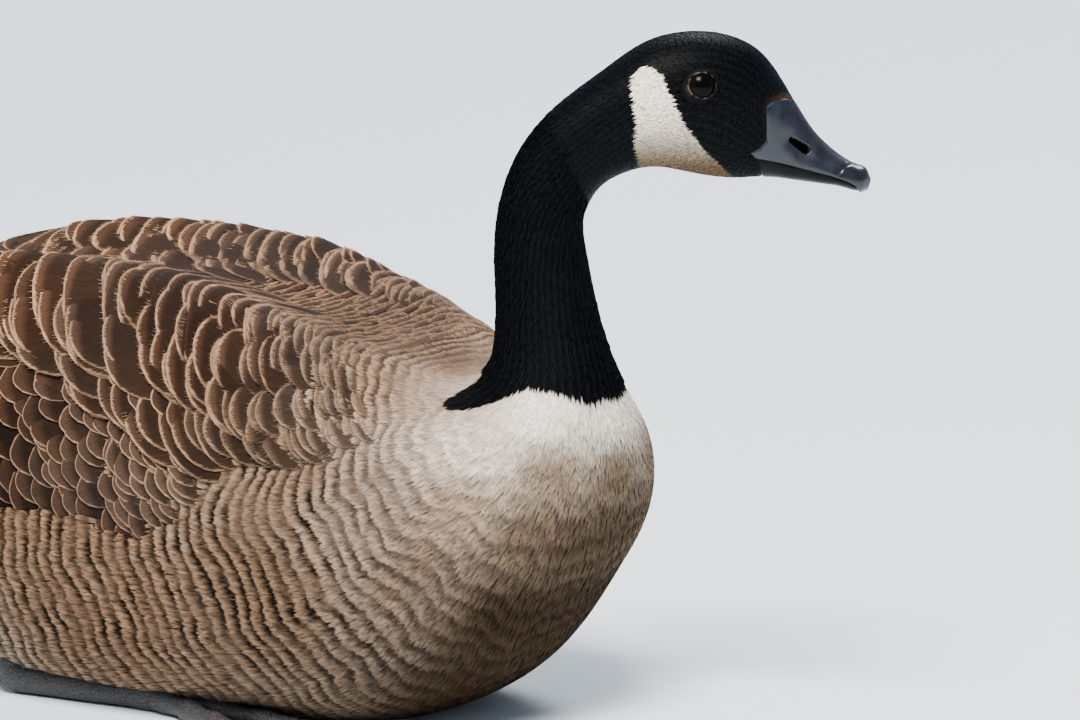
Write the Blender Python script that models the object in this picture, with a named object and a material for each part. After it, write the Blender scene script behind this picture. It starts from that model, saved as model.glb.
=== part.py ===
"""Canada goose at rest on its belly, feet tucked under, neck raised in a hook, head turned to its left.

Frame: metres, +X towards the breast, +Y towards the bird's left side, +Z up.
Origin: the middle of the flat of the belly, at the level of the surface that the bird rests on.

The bird is first laid out straight. Its sides are shaped by stations, cross-sections that follow one another
from the tip of the bill to the tail and fan round the bend where the neck leaves the back. Then the neck is
turned about an upright axis, so that the head looks to the left.
"""

import math

import bmesh
import bpy
import numpy as np
from mathutils import Matrix, Vector

MM = 0.001
DEG = math.pi / 180
GAP = 0.3 * MM  # between touching nodes
TURN_AXIS_X = 165.5 * MM  # of the upright axis that the neck turns about
HEAD_TURN = 35 * DEG  # of the head, to the bird's left

# Each station: name, top of the section (x, z), bottom (x, z), half width, share of the depth above the
# widest level, how square the lower half is, height of the folded wings' ridges. Millimetres, bill to tail.
STATIONS = (
    ("bill_tip", (306.8, 246), (305.8, 243), 2.5, 0.50, 0.0, 0),
    ("nail", (305, 250.3), (302.5, 241.9), 6.2, 0.55, 0.0, 0),
    ("bill_front", (300, 253.8), (296.5, 243.0), 9.2, 0.60, 0.0, 0),
    ("bill_middle", (289.6, 260.8), (283.5, 245.4), 10.8, 0.66, 0.0, 0),
    ("nostrils", (282, 268.6), (272, 246.9), 11.8, 0.62, 0.0, 0),
    ("bill_base", (275.5, 278.7), (262, 247.9), 12.8, 0.56, 0.0, 0),
    ("lores", (269, 290), (251, 247.4), 16.5, 0.52, 0.0, 0),
    ("brow", (260, 302.5), (241, 247.6), 20, 0.50, 0.0, 0),
    ("eye", (247, 310.3), (229, 249.4), 22.5, 0.48, 0.0, 0),
    ("crown", (231, 312.8), (215, 252), 24, 0.48, 0.0, 0),
    ("occiput", (210, 309), (203, 250.8), 23, 0.50, 0.0, 0),
    ("nape", (190, 296), (193, 246.5), 20.5, 0.50, 0.0, 0),
    ("throat", (168, 279), (186.5, 240.5), 18.5, 0.50, 0.0, 0),
    ("hook", (151, 257.5), (182.5, 232.5), 18, 0.50, 0.0, 0),
    ("upper_neck", (142.6, 232), (181.4, 224), 18.5, 0.50, 0.0, 0),
    ("middle_neck", (141, 213), (182.8, 214), 19.5, 0.50, 0.0, 0),
    ("lower_neck", (141.8, 193), (186.4, 195), 21.3, 0.50, 0.0, 0),
    ("neck_root", (142.8, 175), (191.8, 173), 25.2, 0.50, 0.0, 0),
    ("sock_end", (138.5, 162), (199, 150), 35.5, 0.50, 0.0, 0),
    ("collar", (125, 159), (203.5, 125), 55, 0.48, 0.0, 0),
    ("shoulder", (110, 163), (198, 93), 73, 0.46, 0.02, 2),
    ("breast", (93, 168), (176, 58), 85, 0.46, 0.04, 8),
    ("fore_belly", (72, 173), (150, 26), 93.5, 0.46, 0.05, 14),
    ("wing_front", (48, 176), (114, 3), 100, 0.46, 0.06, 18),
    ("keel", (20, 179.5), (70, -5), 104, 0.46, 0.06, 22),
    ("middle", (-15, 182), (15, -6), 106, 0.47, 0.06, 23),
    ("wing_back", (-60, 182), (-50, -6), 105, 0.48, 0.06, 23),
    ("hip", (-105, 179), (-110, -4), 99, 0.48, 0.05, 22),
    ("vent", (-150, 171), (-165, 8), 86, 0.48, 0.04, 17),
    ("rump", (-190, 157), (-208, 35), 67, 0.48, 0.03, 7),
    ("tail_root", (-225, 141), (-238, 68), 49, 0.48, 0.02, 0),
    ("tail_middle", (-256, 128), (-266, 92), 39, 0.50, 0.0, 0),
    ("covert_tips", (-288, 121.5), (-296, 109), 31, 0.50, 0.0, 0),
    ("tail_core_end", (-300, 119.5), (-304, 113), 26, 0.50, 0.0, 0),
)
NAMES = [station[0] for station in STATIONS]
RIDGE_ANGLE = 32 * DEG  # from the top, of the ridge along each folded wing
RIDGE_SPREAD = 16 * DEG


def natural_spline(knots, values):
    """A function that reads a natural cubic spline through values at knots, for arrays of places."""
    knots = np.asarray(knots, float)
    values = np.asarray(values, float)
    step = np.diff(knots)
    count = len(knots)
    system = np.eye(count)
    right = np.zeros(count)
    for i in range(1, count - 1):
        system[i, i - 1 : i + 2] = step[i - 1], 2 * (step[i - 1] + step[i]), step[i]
        right[i] = 6 * (
            (values[i + 1] - values[i]) / step[i] - (values[i] - values[i - 1]) / step[i - 1]
        )
    bend = np.linalg.solve(system, right)

    def read(place):
        i = np.clip(np.searchsorted(knots, place) - 1, 0, count - 2)
        h = step[i]
        before = (knots[i + 1] - place) / h
        after = (place - knots[i]) / h
        cubic = ((before**3 - before) * bend[i] + (after**3 - after) * bend[i + 1]) * h**2 / 6
        return before * values[i] + after * values[i + 1] + cubic

    return read


def station_knots():
    """How far along the spine each station is, in metres from the tip of the bill."""
    middles = np.array([(np.array(s[1]) + np.array(s[2])) / 2 for s in STATIONS]) * MM
    return np.concatenate([[0], np.cumsum(np.linalg.norm(np.diff(middles, axis=0), axis=1))])


KNOTS = station_knots()
PLACE = dict(zip(NAMES, KNOTS))
TOP_X, TOP_Z = (natural_spline(KNOTS, [s[1][i] * MM for s in STATIONS]) for i in (0, 1))
BOTTOM_X, BOTTOM_Z = (natural_spline(KNOTS, [s[2][i] * MM for s in STATIONS]) for i in (0, 1))
HALF_WIDTH = natural_spline(KNOTS, [s[3] * MM for s in STATIONS])
WIDEST = natural_spline(KNOTS, [s[4] for s in STATIONS])
SQUARE = natural_spline(KNOTS, [s[5] for s in STATIONS])
RIDGE = natural_spline(KNOTS, [s[6] * MM for s in STATIONS])

# The folded wing covers the side between two lines. Each row: station, upper and lower line, degrees from the
# top.
WING_LINES = (
    ("collar", 46, 74),
    ("shoulder", 38, 78),
    ("breast", 25, 84),
    ("fore_belly", 14, 89),
    ("wing_front", 8, 93),
    ("keel", 6.5, 97),
    ("middle", 6.5, 102),
    ("wing_back", 6.5, 110),
    ("hip", 6.5, 107),
    ("vent", 7, 94),
    ("rump", 9, 70),
    ("tail_root", 11, 58),
)
WING_KNOTS = [PLACE[row[0]] for row in WING_LINES]
WING_UPPER = natural_spline(WING_KNOTS, [row[1] * DEG for row in WING_LINES])
WING_LOWER = natural_spline(WING_KNOTS, [row[2] * DEG for row in WING_LINES])
WING_START = PLACE["shoulder"] + 4 * MM
WING_END = PLACE["rump"] + 6 * MM
WING_SECTIONS = 16  # that the wing and the torso under it share
CORE_SINK = 2 * MM  # of the wing core's outer face below the outline, which the feathers reach
WING_EDGE = 4.5 * MM  # depth of the wing's inner face along its rim
WING_DEPTH = 11 * MM  # and at its middle
WALL_ANGLE = 2.2 * DEG  # width of the wall round the pocket that the wing lies in
WALL_LENGTH = 3 * MM
ACROSS_BACK, ACROSS_WING, ACROSS_BELLY = 2, 8, 7  # segments round half of a section


def ease(share):
    """0 before 0, 1 after 1, and smooth between."""
    share = np.clip(share, 0, 1)
    return share * share * (3 - 2 * share)


def turned(x, y, place):
    """Turns the neck and head about the neck's upright axis, more towards the head."""
    start, end = PLACE["neck_root"], PLACE["throat"]
    angle = HEAD_TURN * ease((start - place) / (start - end))
    dx = x - TURN_AXIS_X
    return TURN_AXIS_X + dx * np.cos(angle) - y * np.sin(angle), dx * np.sin(angle) + y * np.cos(angle)


def body_point(place, angle, sink=0.0):
    """Points of the body's surface, sunk by a depth towards the middle of their section.

    place is the distance along the spine, and angle goes round the section from its top to the left.
    """
    place, angle, sink = np.broadcast_arrays(place, angle, sink)
    across, up = np.sin(angle), np.cos(angle)
    top_x, top_z = TOP_X(place), TOP_Z(place)
    bottom_x, bottom_z = BOTTOM_X(place), BOTTOM_Z(place)
    share = WIDEST(place)
    middle_x = top_x + (bottom_x - top_x) * share
    middle_z = top_z + (bottom_z - top_z) * share
    fuller = 1 + np.sin(2 * angle) ** 2 * np.where(up > 0, 0.03, SQUARE(place) + 0.02)
    reach = np.abs(up) * fuller
    end_x = np.where(up > 0, top_x, bottom_x) - middle_x
    end_z = np.where(up > 0, top_z, bottom_z) - middle_z
    depth = np.hypot(top_x - bottom_x, top_z - bottom_z)
    near_ridge = np.exp(-(((np.abs(angle) - RIDGE_ANGLE) / RIDGE_SPREAD) ** 2))
    lift = np.maximum(RIDGE(place), 0) * near_ridge
    dx = end_x * reach + lift * (top_x - bottom_x) / depth
    dz = end_z * reach + lift * (top_z - bottom_z) / depth
    dy = HALF_WIDTH(place) * across * fuller
    radius = np.maximum(np.sqrt(dx**2 + dy**2 + dz**2), 1e-6)
    keep = 1 - sink / radius
    x, y = turned(middle_x + dx * keep, dy * keep, place)
    return np.stack([x, y, np.maximum(middle_z + dz * keep, 0)], axis=-1)


def size_along(place, angle):
    """How many metres of surface a metre along the spine makes there."""
    step = 5 * MM
    return np.linalg.norm(body_point(place + step, angle) - body_point(place - step, angle)) / (2 * step)


def size_around(place, angle):
    """How many metres of surface a radian round the section makes there."""
    turn = 0.05
    return np.linalg.norm(body_point(place, angle + turn) - body_point(place, angle - turn)) / (2 * turn)


def body_normal(place, angle):
    """The direction straight out of the body at a place and an angle."""
    step = 0.5 * MM
    turn = 0.5 * DEG
    along = body_point(place + step, angle) - body_point(place - step, angle)
    around = body_point(place, angle + turn) - body_point(place, angle - turn)
    out = Vector(np.cross(around, along)).normalized()
    middle = Vector(body_point(place, angle, 10 * MM))
    return out if out.dot(Vector(body_point(place, angle)) - middle) > 0 else -out


def material(name, colour, roughness, metallic=0.0):
    """A Principled BSDF of one colour."""
    made = bpy.data.materials.new(name)
    made.use_nodes = True
    shader = made.node_tree.nodes["Principled BSDF"]
    shader.inputs["Base Color"].default_value = (*colour, 1)
    shader.inputs["Roughness"].default_value = roughness
    shader.inputs["Metallic"].default_value = metallic
    return made


def add_object(name, mesh, collection, finish=None):
    """An object of this mesh in a collection, smooth up to sharp edges."""
    made = bpy.data.objects.new(name, mesh)
    collection.objects.link(made)
    mesh.materials.clear()
    if finish:
        mesh.materials.append(finish)
    mesh.shade_smooth()
    mesh.set_sharp_from_angle(angle=40 * DEG)
    return made


def grid_triangles(shape, grid, mirrored_columns=0):
    """Two triangles for each cell of a grid of vertices, with the other diagonal in the first few columns."""
    for row, next_row in zip(grid[:-1], grid[1:]):
        for j in range(len(row) - 1):
            a, b, c, d = row[j], next_row[j], next_row[j + 1], row[j + 1]
            if j < mirrored_columns:
                shape.faces.new((a, b, d))
                shape.faces.new((b, c, d))
            else:
                shape.faces.new((a, b, c))
                shape.faces.new((a, c, d))


def finished_mesh(name, shape):
    """The mesh of a closed shape, its faces turned outwards."""
    bmesh.ops.recalc_face_normals(shape, faces=shape.faces)
    mesh = bpy.data.meshes.new(name)
    shape.to_mesh(mesh)
    shape.free()
    return mesh


def loft_mesh(name, rings):
    """A closed mesh through rings of points that start and end at the bottom, with flat ends."""
    shape = bmesh.new()
    grid = [[shape.verts.new(point) for point in ring] for ring in np.asarray(rings).tolist()]
    closed = [row + row[:1] for row in grid]
    grid_triangles(shape, closed, len(grid[0]) // 2)
    shape.faces.new(grid[0])
    shape.faces.new(grid[-1])
    return finished_mesh(name, shape)


def plate_mesh(name, outer, inner):
    """A closed mesh between two grids of points, split into triangles alike on both faces."""
    shape = bmesh.new()
    front, back = (
        [[shape.verts.new(point) for point in row] for row in np.asarray(face).tolist()]
        for face in (outer, inner)
    )
    for grid in (front, back):
        grid_triangles(shape, grid)
    rows, columns = len(front), len(front[0])
    rim = [(i, 0) for i in range(rows)] + [(rows - 1, j) for j in range(1, columns)]
    rim += [(i, columns - 1) for i in range(rows - 2, -1, -1)] + [(0, j) for j in range(columns - 2, 0, -1)]
    for (i, j), (k, m) in zip(rim, rim[1:] + rim[:1]):
        shape.faces.new((front[i][j], back[i][j], back[k][m], front[k][m]))
    return finished_mesh(name, shape)


def half_angles(place):
    """The angles of the lines that run along one half of the body, from the top to the bottom."""
    upper, lower = float(WING_UPPER(place)), float(WING_LOWER(place))
    back = np.linspace(0, upper - WALL_ANGLE, ACROSS_BACK + 1)
    wing = np.linspace(upper, lower, ACROSS_WING + 1)
    belly = np.linspace(lower + WALL_ANGLE, math.pi, ACROSS_BELLY + 1)
    return back, wing, belly


def wing_depth(place, share):
    """The depth of the wing's inner face at a place along it and a share of the way down it."""
    along = (place - WING_START) / (WING_END - WING_START)
    inside = np.sin(np.pi * np.clip(along, 0, 1)) * np.sin(np.pi * share)
    return WING_EDGE + (WING_DEPTH - WING_EDGE) * np.sqrt(np.maximum(inside, 0))


def torso_ring(place, pocket):
    """One ring round the torso, sunk under the wings where there is a pocket for them."""
    back, wing, belly = half_angles(place)
    shares = np.linspace(0, 1, ACROSS_WING + 1)
    sink = wing_depth(place, shares) + GAP if pocket else np.zeros_like(shares)
    angles = np.concatenate([back, wing, belly])
    sinks = np.concatenate([np.zeros_like(back), sink, np.zeros_like(belly)])
    angles = np.concatenate([-angles[:0:-1], angles[:-1]])
    sinks = np.concatenate([sinks[:0:-1], sinks[:-1]])
    return body_point(place, angles, sinks)


def wing_places():
    """Places of the sections that the wing and the torso under it share, closer together at the front."""
    shares = np.linspace(0, 1, WING_SECTIONS) ** 1.25
    return WING_START + (WING_END - WING_START) * shares


def torso_mesh():
    """The body from the end of the black neck to the root of the tail, with a pocket for each wing."""
    start, end = PLACE["sock_end"] + GAP / 2, PLACE["tail_root"] - GAP / 2
    before = np.linspace(start, WING_START - WALL_LENGTH, 5)
    after = np.linspace(WING_END + WALL_LENGTH, end, 3)
    rings = [torso_ring(place, False) for place in before]
    rings += [torso_ring(place, True) for place in wing_places()]
    rings += [torso_ring(place, False) for place in after]
    return loft_mesh("torso", rings)


def wing_core_mesh(name, side):
    """The folded wing under its feathers: a shield with a rim, thickest at its middle."""
    shares = np.linspace(0, 1, ACROSS_WING + 1)
    outer, inner = [], []
    for place in wing_places():
        angles = half_angles(place)[1]
        outer.append(body_point(place, side * angles, CORE_SINK))
        inner.append(body_point(place, side * angles, wing_depth(place, shares)))
    return plate_mesh(name, outer, inner)


def plain_rings(start, end, count, around):
    """Rings of the body between two places, with evenly spread angles."""
    angles = np.linspace(-math.pi, math.pi, around, endpoint=False)
    return [body_point(place, angles) for place in np.linspace(start, end, count)]


def ball_mesh(name, centre, radius):
    """A closed ball."""
    shape = bmesh.new()
    bmesh.ops.create_uvsphere(shape, u_segments=12, v_segments=8, radius=radius)
    bmesh.ops.translate(shape, verts=shape.verts, vec=centre)
    return finished_mesh(name, shape)


def combine(target, others, operation, solver="EXACT"):
    """Joins other objects to the target, or cuts them out of it, and removes them."""
    group = bpy.data.collections.new("operands")
    bpy.context.scene.collection.children.link(group)
    for other in others:
        for owner in list(other.users_collection):
            owner.objects.unlink(other)
        group.objects.link(other)
    modifier = target.modifiers.new(operation.lower(), "BOOLEAN")
    modifier.operation = operation
    modifier.operand_type = "COLLECTION"
    modifier.collection = group
    modifier.solver = solver
    result = bpy.data.meshes.new_from_object(target.evaluated_get(bpy.context.evaluated_depsgraph_get()))
    target.modifiers.remove(modifier)
    finish = list(target.data.materials)
    target.data = result
    result.materials.clear()
    for each in finish:
        result.materials.append(each)
    for other in list(group.objects):
        bpy.data.objects.remove(other)
    bpy.data.collections.remove(group)


def closed_surfaces(shape):
    """The vertices of each closed surface of a shape, the largest first."""
    left = set(shape.verts)
    groups = []
    while left:
        reached = {left.pop()}
        front = list(reached)
        while front:
            near = {edge.other_vert(v) for v in front for edge in v.link_edges} & left
            left -= near
            reached |= near
            front = list(near)
        groups.append(reached)
    return sorted(groups, key=len, reverse=True)


def largest_body(target):
    """Keeps only the largest closed surface of an object."""
    shape = bmesh.new()
    shape.from_mesh(target.data)
    scraps = [v for group in closed_surfaces(shape)[1:] for v in group]
    bmesh.ops.delete(shape, geom=scraps, context="VERTS")
    shape.to_mesh(target.data)
    shape.free()


def split_bodies(target, count):
    """The largest few closed surfaces of an object as meshes, the largest first."""
    meshes = []
    for rank in range(count):
        shape = bmesh.new()
        shape.from_mesh(target.data)
        groups = closed_surfaces(shape)
        others = [v for i, group in enumerate(groups) if i != rank for v in group]
        bmesh.ops.delete(shape, geom=others, context="VERTS")
        mesh = bpy.data.meshes.new("piece")
        shape.to_mesh(mesh)
        shape.free()
        meshes.append(mesh)
    return meshes


# The line where the feathers of the face meet the bill, seen from the side: x and z in millimetres.
FACE_LINE = (
    (263, 298), (261.5, 286), (261.5, 276), (261.5, 266.5), (258.5, 262.5), (254, 260.5), (257.5, 256),
    (261, 243),
)
WEDGE = 13 * MM  # how far the feathers of the forehead reach forwards on top of the bill
WEDGE_HALF_WIDTH = 5.5 * MM
WEDGE_HEIGHTS = (262 * MM, 276 * MM)  # levels between which it grows to its full reach
MOUTH_LINE = ((249, 261.2), (257, 257.8), (272.4, 254.4), (289.6, 249.6), (299.3, 246.4), (312, 243.4))
MOUTH_GAP = 0.5 * MM
FACE_WIDTHS = (-30, -12, -7, -4, 0, 4, 7, 12, 30)  # across the sheet that parts the face, millimetres
MOUTH_WIDTHS = (-30, 0, 30)


def face_sheet(name, line, widths, gap, wedge, rises):
    """A thin closed sheet across the turned head, along a line seen from its side.

    wedge is how far it bulges forwards in its middle, and rises parts its faces upwards and not forwards.
    """
    line_x, line_z = (values[:, None] for values in np.array(line).T * MM)
    y = np.array(widths)[None, :] * MM
    low, high = WEDGE_HEIGHTS
    bulge = wedge * np.exp(-((y / WEDGE_HALF_WIDTH) ** 2)) * ease((line_z - low) / (high - low))
    faces = []
    for offset in (gap / 2, -gap / 2):
        forwards, upwards = (0, offset) if rises else (offset, 0)
        flat_x, flat_y = turned(line_x + bulge + forwards, y + 0 * bulge, 0)
        faces.append(np.stack([flat_x, flat_y, line_z + upwards + 0 * bulge], axis=-1))
    return plate_mesh(name, *faces)


EYE_PLACE = (PLACE["eye"] + PLACE["crown"]) / 2
EYE_ANGLE = 70.5 * DEG
EYE_RADIUS = 7.6 * MM
EYE_SHOWS = 2.5 * MM  # how far the ball stands out of the head
LID_RADIUS, LID_THICKNESS = 6.0 * MM, 1.2 * MM
LID_SINK = 0.3 * MM
LID_SIDES, LID_STEPS = 6, 18
LID_TOE_IN = 8 * DEG  # the lids face a little more forwards than the head's side
NOSTRIL_PLACE = PLACE["nostrils"] + 2 * MM
NOSTRIL_ANGLE = 60 * DEG
NOSTRIL_HALF_SIZE = (4.4 * MM, 2.4 * MM, 1.7 * MM)  # along, across and up
NOSTRIL_TILT = 33 * DEG
NOSTRIL_SINK = 0.4 * MM


def eye_centre(side):
    """The middle of an eyeball."""
    surface = Vector(body_point(EYE_PLACE, side * EYE_ANGLE))
    return surface - body_normal(EYE_PLACE, side * EYE_ANGLE) * (EYE_RADIUS - EYE_SHOWS)


def lid_mesh(side):
    """A ring round the opening of the eye."""
    shape = bmesh.new()
    bmesh.ops.create_circle(shape, segments=LID_SIDES, radius=LID_THICKNESS)
    bmesh.ops.translate(shape, verts=shape.verts, vec=(LID_RADIUS, 0, 0))
    upright = Matrix.Rotation(math.pi / 2, 3, "X")
    bmesh.ops.rotate(shape, verts=shape.verts, cent=(LID_RADIUS, 0, 0), matrix=upright)
    edges = shape.edges[:]
    bmesh.ops.spin(shape, geom=edges, axis=(0, 0, 1), cent=(0, 0, 0), angle=2 * math.pi, steps=LID_STEPS)
    bmesh.ops.remove_doubles(shape, verts=shape.verts, dist=1e-6)
    out = body_normal(EYE_PLACE, side * EYE_ANGLE)
    out.rotate(Matrix.Rotation(-side * LID_TOE_IN, 3, "Z"))
    turn = out.to_track_quat("Z", "Y").to_matrix().to_4x4()
    bmesh.ops.transform(shape, matrix=turn, verts=shape.verts)
    bmesh.ops.translate(shape, verts=shape.verts, vec=body_point(EYE_PLACE, side * EYE_ANGLE, LID_SINK))
    return finished_mesh("lid", shape)


def nostril_cutter(side, collection):
    """A long oval ball that cuts the nostril."""
    shape = bmesh.new()
    bmesh.ops.create_uvsphere(shape, u_segments=10, v_segments=6, radius=1)
    bmesh.ops.scale(shape, verts=shape.verts, vec=NOSTRIL_HALF_SIZE)
    turn = Matrix.Rotation(HEAD_TURN, 4, "Z") @ Matrix.Rotation(NOSTRIL_TILT, 4, "Y")
    bmesh.ops.transform(shape, matrix=turn, verts=shape.verts)
    centre = body_point(NOSTRIL_PLACE, side * NOSTRIL_ANGLE, NOSTRIL_SINK)
    bmesh.ops.translate(shape, verts=shape.verts, vec=centre)
    return add_object("nostril_cutter", finished_mesh("nostril", shape), collection)


def build_head(collection, cutters, finishes):
    """The head and both halves of the bill, modelled whole and parted by thin cuts, and the eyes."""
    rings = plain_rings(PLACE["bill_tip"], PLACE["throat"] - GAP / 2, 25, 30)
    whole = add_object("whole_head", loft_mesh("whole_head", rings), collection, finishes["black"])
    face = face_sheet("face_cutter", FACE_LINE, FACE_WIDTHS, GAP, WEDGE, False)
    combine(whole, [add_object("face_cutter", face, cutters)], "DIFFERENCE")
    head_mesh, bill_mesh = split_bodies(whole, 2)
    bpy.data.objects.remove(whole)
    head = add_object("head", head_mesh, collection, finishes["black"])
    bill = add_object("bill", bill_mesh, collection, finishes["bill"])
    mouth = face_sheet("mouth_cutter", MOUTH_LINE, MOUTH_WIDTHS, MOUTH_GAP, 0, True)
    combine(bill, [add_object("mouth_cutter", mouth, cutters)], "DIFFERENCE")
    upper_mesh, lower_mesh = split_bodies(bill, 2)
    bpy.data.objects.remove(bill)
    upper = add_object("bill_upper", upper_mesh, collection, finishes["bill"])
    add_object("bill_lower", lower_mesh, collection, finishes["bill"])
    combine(upper, [nostril_cutter(side, cutters) for side in (-1, 1)], "DIFFERENCE")
    largest_body(upper)
    combine(head, [add_object("lid", lid_mesh(side), cutters) for side in (-1, 1)], "UNION")
    sockets = []
    for side, name in ((1, "eye_left"), (-1, "eye_right")):
        centre = eye_centre(side)
        sockets.append(add_object("socket", ball_mesh("socket", centre, EYE_RADIUS + GAP), cutters))
        add_object(name, ball_mesh(name, centre, EYE_RADIUS), collection, finishes["eye"])
    combine(head, sockets, "DIFFERENCE")
    largest_body(head)


# Outlines of vanes: share of the length, share of the half width.
SMALL_VANE = ((0, 0.55), (0.6, 1), (1, 0.42))
BROAD_VANE = ((0, 0.5), (0.45, 0.96), (0.8, 0.88), (1, 0.34))
LONG_VANE = ((0, 0.5), (0.3, 0.9), (0.62, 1), (0.88, 0.78), (1, 0.2))
VANE_THICKNESS = 0.8 * MM
VANE_THINNING = 0.3  # share of its thickness that a vane loses towards its tip
SHORT_CAMBER = 0.035  # rise of a short vane's middle over its edges, for each metre of its width
LONG_CAMBER = 0.014
RIM_HEIGHT = 2 * MM  # over the body, of a vane's edge that reaches past the wing's core
RIM_WIDTH = 3 * MM  # over which it rises to that


def vane_mesh(course, length, width, outline, bulge):
    """A thin curved plate that follows a course, a function of run, distance across and height."""
    outer, inner = [], []
    for share, part in outline:
        across = np.array([-1, 0, 1]) * part * width / 2
        camber = bulge * width * np.array([0, 1, 0])
        thickness = VANE_THICKNESS * (1 - VANE_THINNING * share)
        outer.append(course(share * length, across, camber + thickness))
        inner.append(course(share * length, across, camber))
    return plate_mesh("vane", outer, inner)


def wing_course(place, share, slant, length, heights, side):
    """How a feather of the folded wing runs back from its root.

    share is the root's share of the way down from the wing's upper line, slant turns the feather downwards,
    and heights are those of its root and its tip over the body's outline.
    """
    upper, lower = float(WING_UPPER(place)), float(WING_LOWER(place))
    angle = upper + (lower - upper) * share
    along = size_along(place + length / 2, angle)
    around = size_around(place + length / 2, angle)
    root, tip = heights

    def course(run, across, height):
        at_place = place + (run * math.cos(slant) - across * math.sin(slant)) / along
        at_angle = angle + (run * math.sin(slant) + across * math.cos(slant)) / around
        past = np.maximum(WING_UPPER(at_place) - at_angle, at_angle - WING_LOWER(at_place)) * around
        rise = root + (tip - root) * run / length
        rise = rise + np.maximum(RIM_HEIGHT - rise, 0) * ease((past + MM) / RIM_WIDTH)
        return body_point(at_place, at_angle, -(height + rise)) * (1, side, 1)

    return course


# Rows of covering feathers, front to back: share of the wing's length, feathers, first and last share of the
# way down, length in millimetres, slant in degrees of the uppermost and the lowest, height of the tips in
# millimetres.
COVER_ROWS = (
    (0.030, 2, 0.30, 0.70, 36, 6, 12, 0.6),
    (0.095, 3, 0.16, 0.74, 39, 5, 16, 0.8),
    (0.165, 4, 0.12, 0.88, 42, 4, 16, 0.9),
    (0.240, 4, 0.11, 0.78, 46, 1, 15, 1.0),
    (0.325, 5, 0.10, 0.91, 50, -1, 14, 1.6),
    (0.415, 5, 0.09, 0.84, 54, -3, 8, 2.0),
    (0.505, 5, 0.10, 0.92, 58, -4, 0, 2.4),
    (0.605, 3, 0.50, 0.86, 56, -10, -8, 1.4),
)
COVER_ROOT_HEIGHT = -3.6 * MM
SMALL_ROWS = 3  # rows at the front, of feathers with a plainer outline
# Long feathers of the inner and the middle wing: share of the wing's length, share of the way down, length,
# width, slant in degrees, heights of the root and the tip over the outline. Millimetres.
TERTIALS = (
    (0.555, 0.14, 184, 29, -2, -2.9, 12.6),
    (0.560, 0.29, 181, 29, -6, -5.2, 10.3),
    (0.565, 0.43, 174, 28, -11, -7.5, 8.0),
)
SECONDARIES = (
    (0.700, 0.66, 112, 24, -5, -3.6, 4.2),
    (0.680, 0.84, 106, 25, -13, -5.8, 1.8),
)

# How unlike each other the feathers are.
FEATHER_SEED = 21
COVER_WIDTH = 0.88  # width of a covering feather, of the distance to its neighbour
LONG_SPREAD = 1.5  # of the long feathers' lengths, millimetres
SHORT_SPREAD = 0.03  # of the covering feathers' lengths, as a share
SLANT_SPREAD = 1.0  # degrees
PLACE_SPREAD = 0.8 * MM

# The bundle of outer flight feathers runs from inside the wing's core back over the rump and the tail.
PRIMARIES = 4
BUNDLE_START = PLACE["vent"] - 4 * MM
BUNDLE_LEAVES_BODY = PLACE["tail_middle"]
BUNDLE_LENGTH = 190 * MM
BUNDLE_STEP = 19 * MM  # each feather above ends so much shorter
BUNDLE_PITCH = 1.4 * MM  # from one feather to the one above it
BUNDLE_ANGLES = (60 * DEG, 36 * DEG)  # of its middle line where it starts and where it leaves the body
BUNDLE_INWARDS = -0.12  # its course sideways behind the body, for each metre of length
BUNDLE_HEIGHTS = (-8.6 * MM, 1.6 * MM, 2.7 * MM)  # at its start, over the rump and over the tail
BUNDLE_RISE = WING_END - BUNDLE_START - 6 * MM  # run over which it comes out of the wing
BUNDLE_TAIL = (70 * MM, 30 * MM)  # where it starts to rise over the tail, and the run that takes
PRIMARY_WIDTH = 25 * MM
PRIMARY_TAPER = (0.88, 3.5)  # share of the width lost at the tip, and how late
PRIMARY_ROOT_TAPER = (0.4, 6)  # the same at the root
PRIMARY_ROWS = (0, 24, 48, 72, 96, 120, 145, 168)  # runs from the bundle's start, millimetres
PRIMARY_LAST_ROW = 15 * MM  # the least run between the last row and the tip


def bundle_point(run, across, height):
    """Points above the line that the outer flight feathers follow on the left side.

    run is the distance from the bundle's start, across is the distance outwards from its middle line, and
    height is how far the point lies above the body's surface.
    """
    run, across, height = np.broadcast_arrays(run, across, height)
    on_body = np.minimum(run, BUNDLE_LEAVES_BODY - BUNDLE_START)
    behind = run - on_body
    place = BUNDLE_START + on_body
    first, last = BUNDLE_ANGLES
    angle = first + (last - first) * on_body / (BUNDLE_LEAVES_BODY - BUNDLE_START)
    point = body_point(place, angle + across / HALF_WIDTH(place), -height)
    return point + np.stack([-behind, behind * BUNDLE_INWARDS, 0 * behind], axis=-1)


def primary_mesh(level, side, draws):
    """One outer flight feather, the lowest one first, which is the longest."""
    length = BUNDLE_LENGTH - level * BUNDLE_STEP + draws.normal(0, 1.5 * MM)
    start, rump, tail = BUNDLE_HEIGHTS

    def course(run, across, height):
        base = start + (rump - start) * ease(run / BUNDLE_RISE)
        base = base + (tail - rump) * ease((run - BUNDLE_TAIL[0]) / BUNDLE_TAIL[1])
        return bundle_point(run, across, base + level * BUNDLE_PITCH + height) * (1, side, 1)

    runs = [run * MM for run in PRIMARY_ROWS if run * MM < length - PRIMARY_LAST_ROW] + [length]
    shares = np.array(runs) / length
    tip, late = PRIMARY_TAPER
    root, early = PRIMARY_ROOT_TAPER
    widths = 1 - tip * shares**late - root * (1 - shares) ** early
    return vane_mesh(course, length, PRIMARY_WIDTH, list(zip(shares, widths)), LONG_CAMBER)


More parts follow.
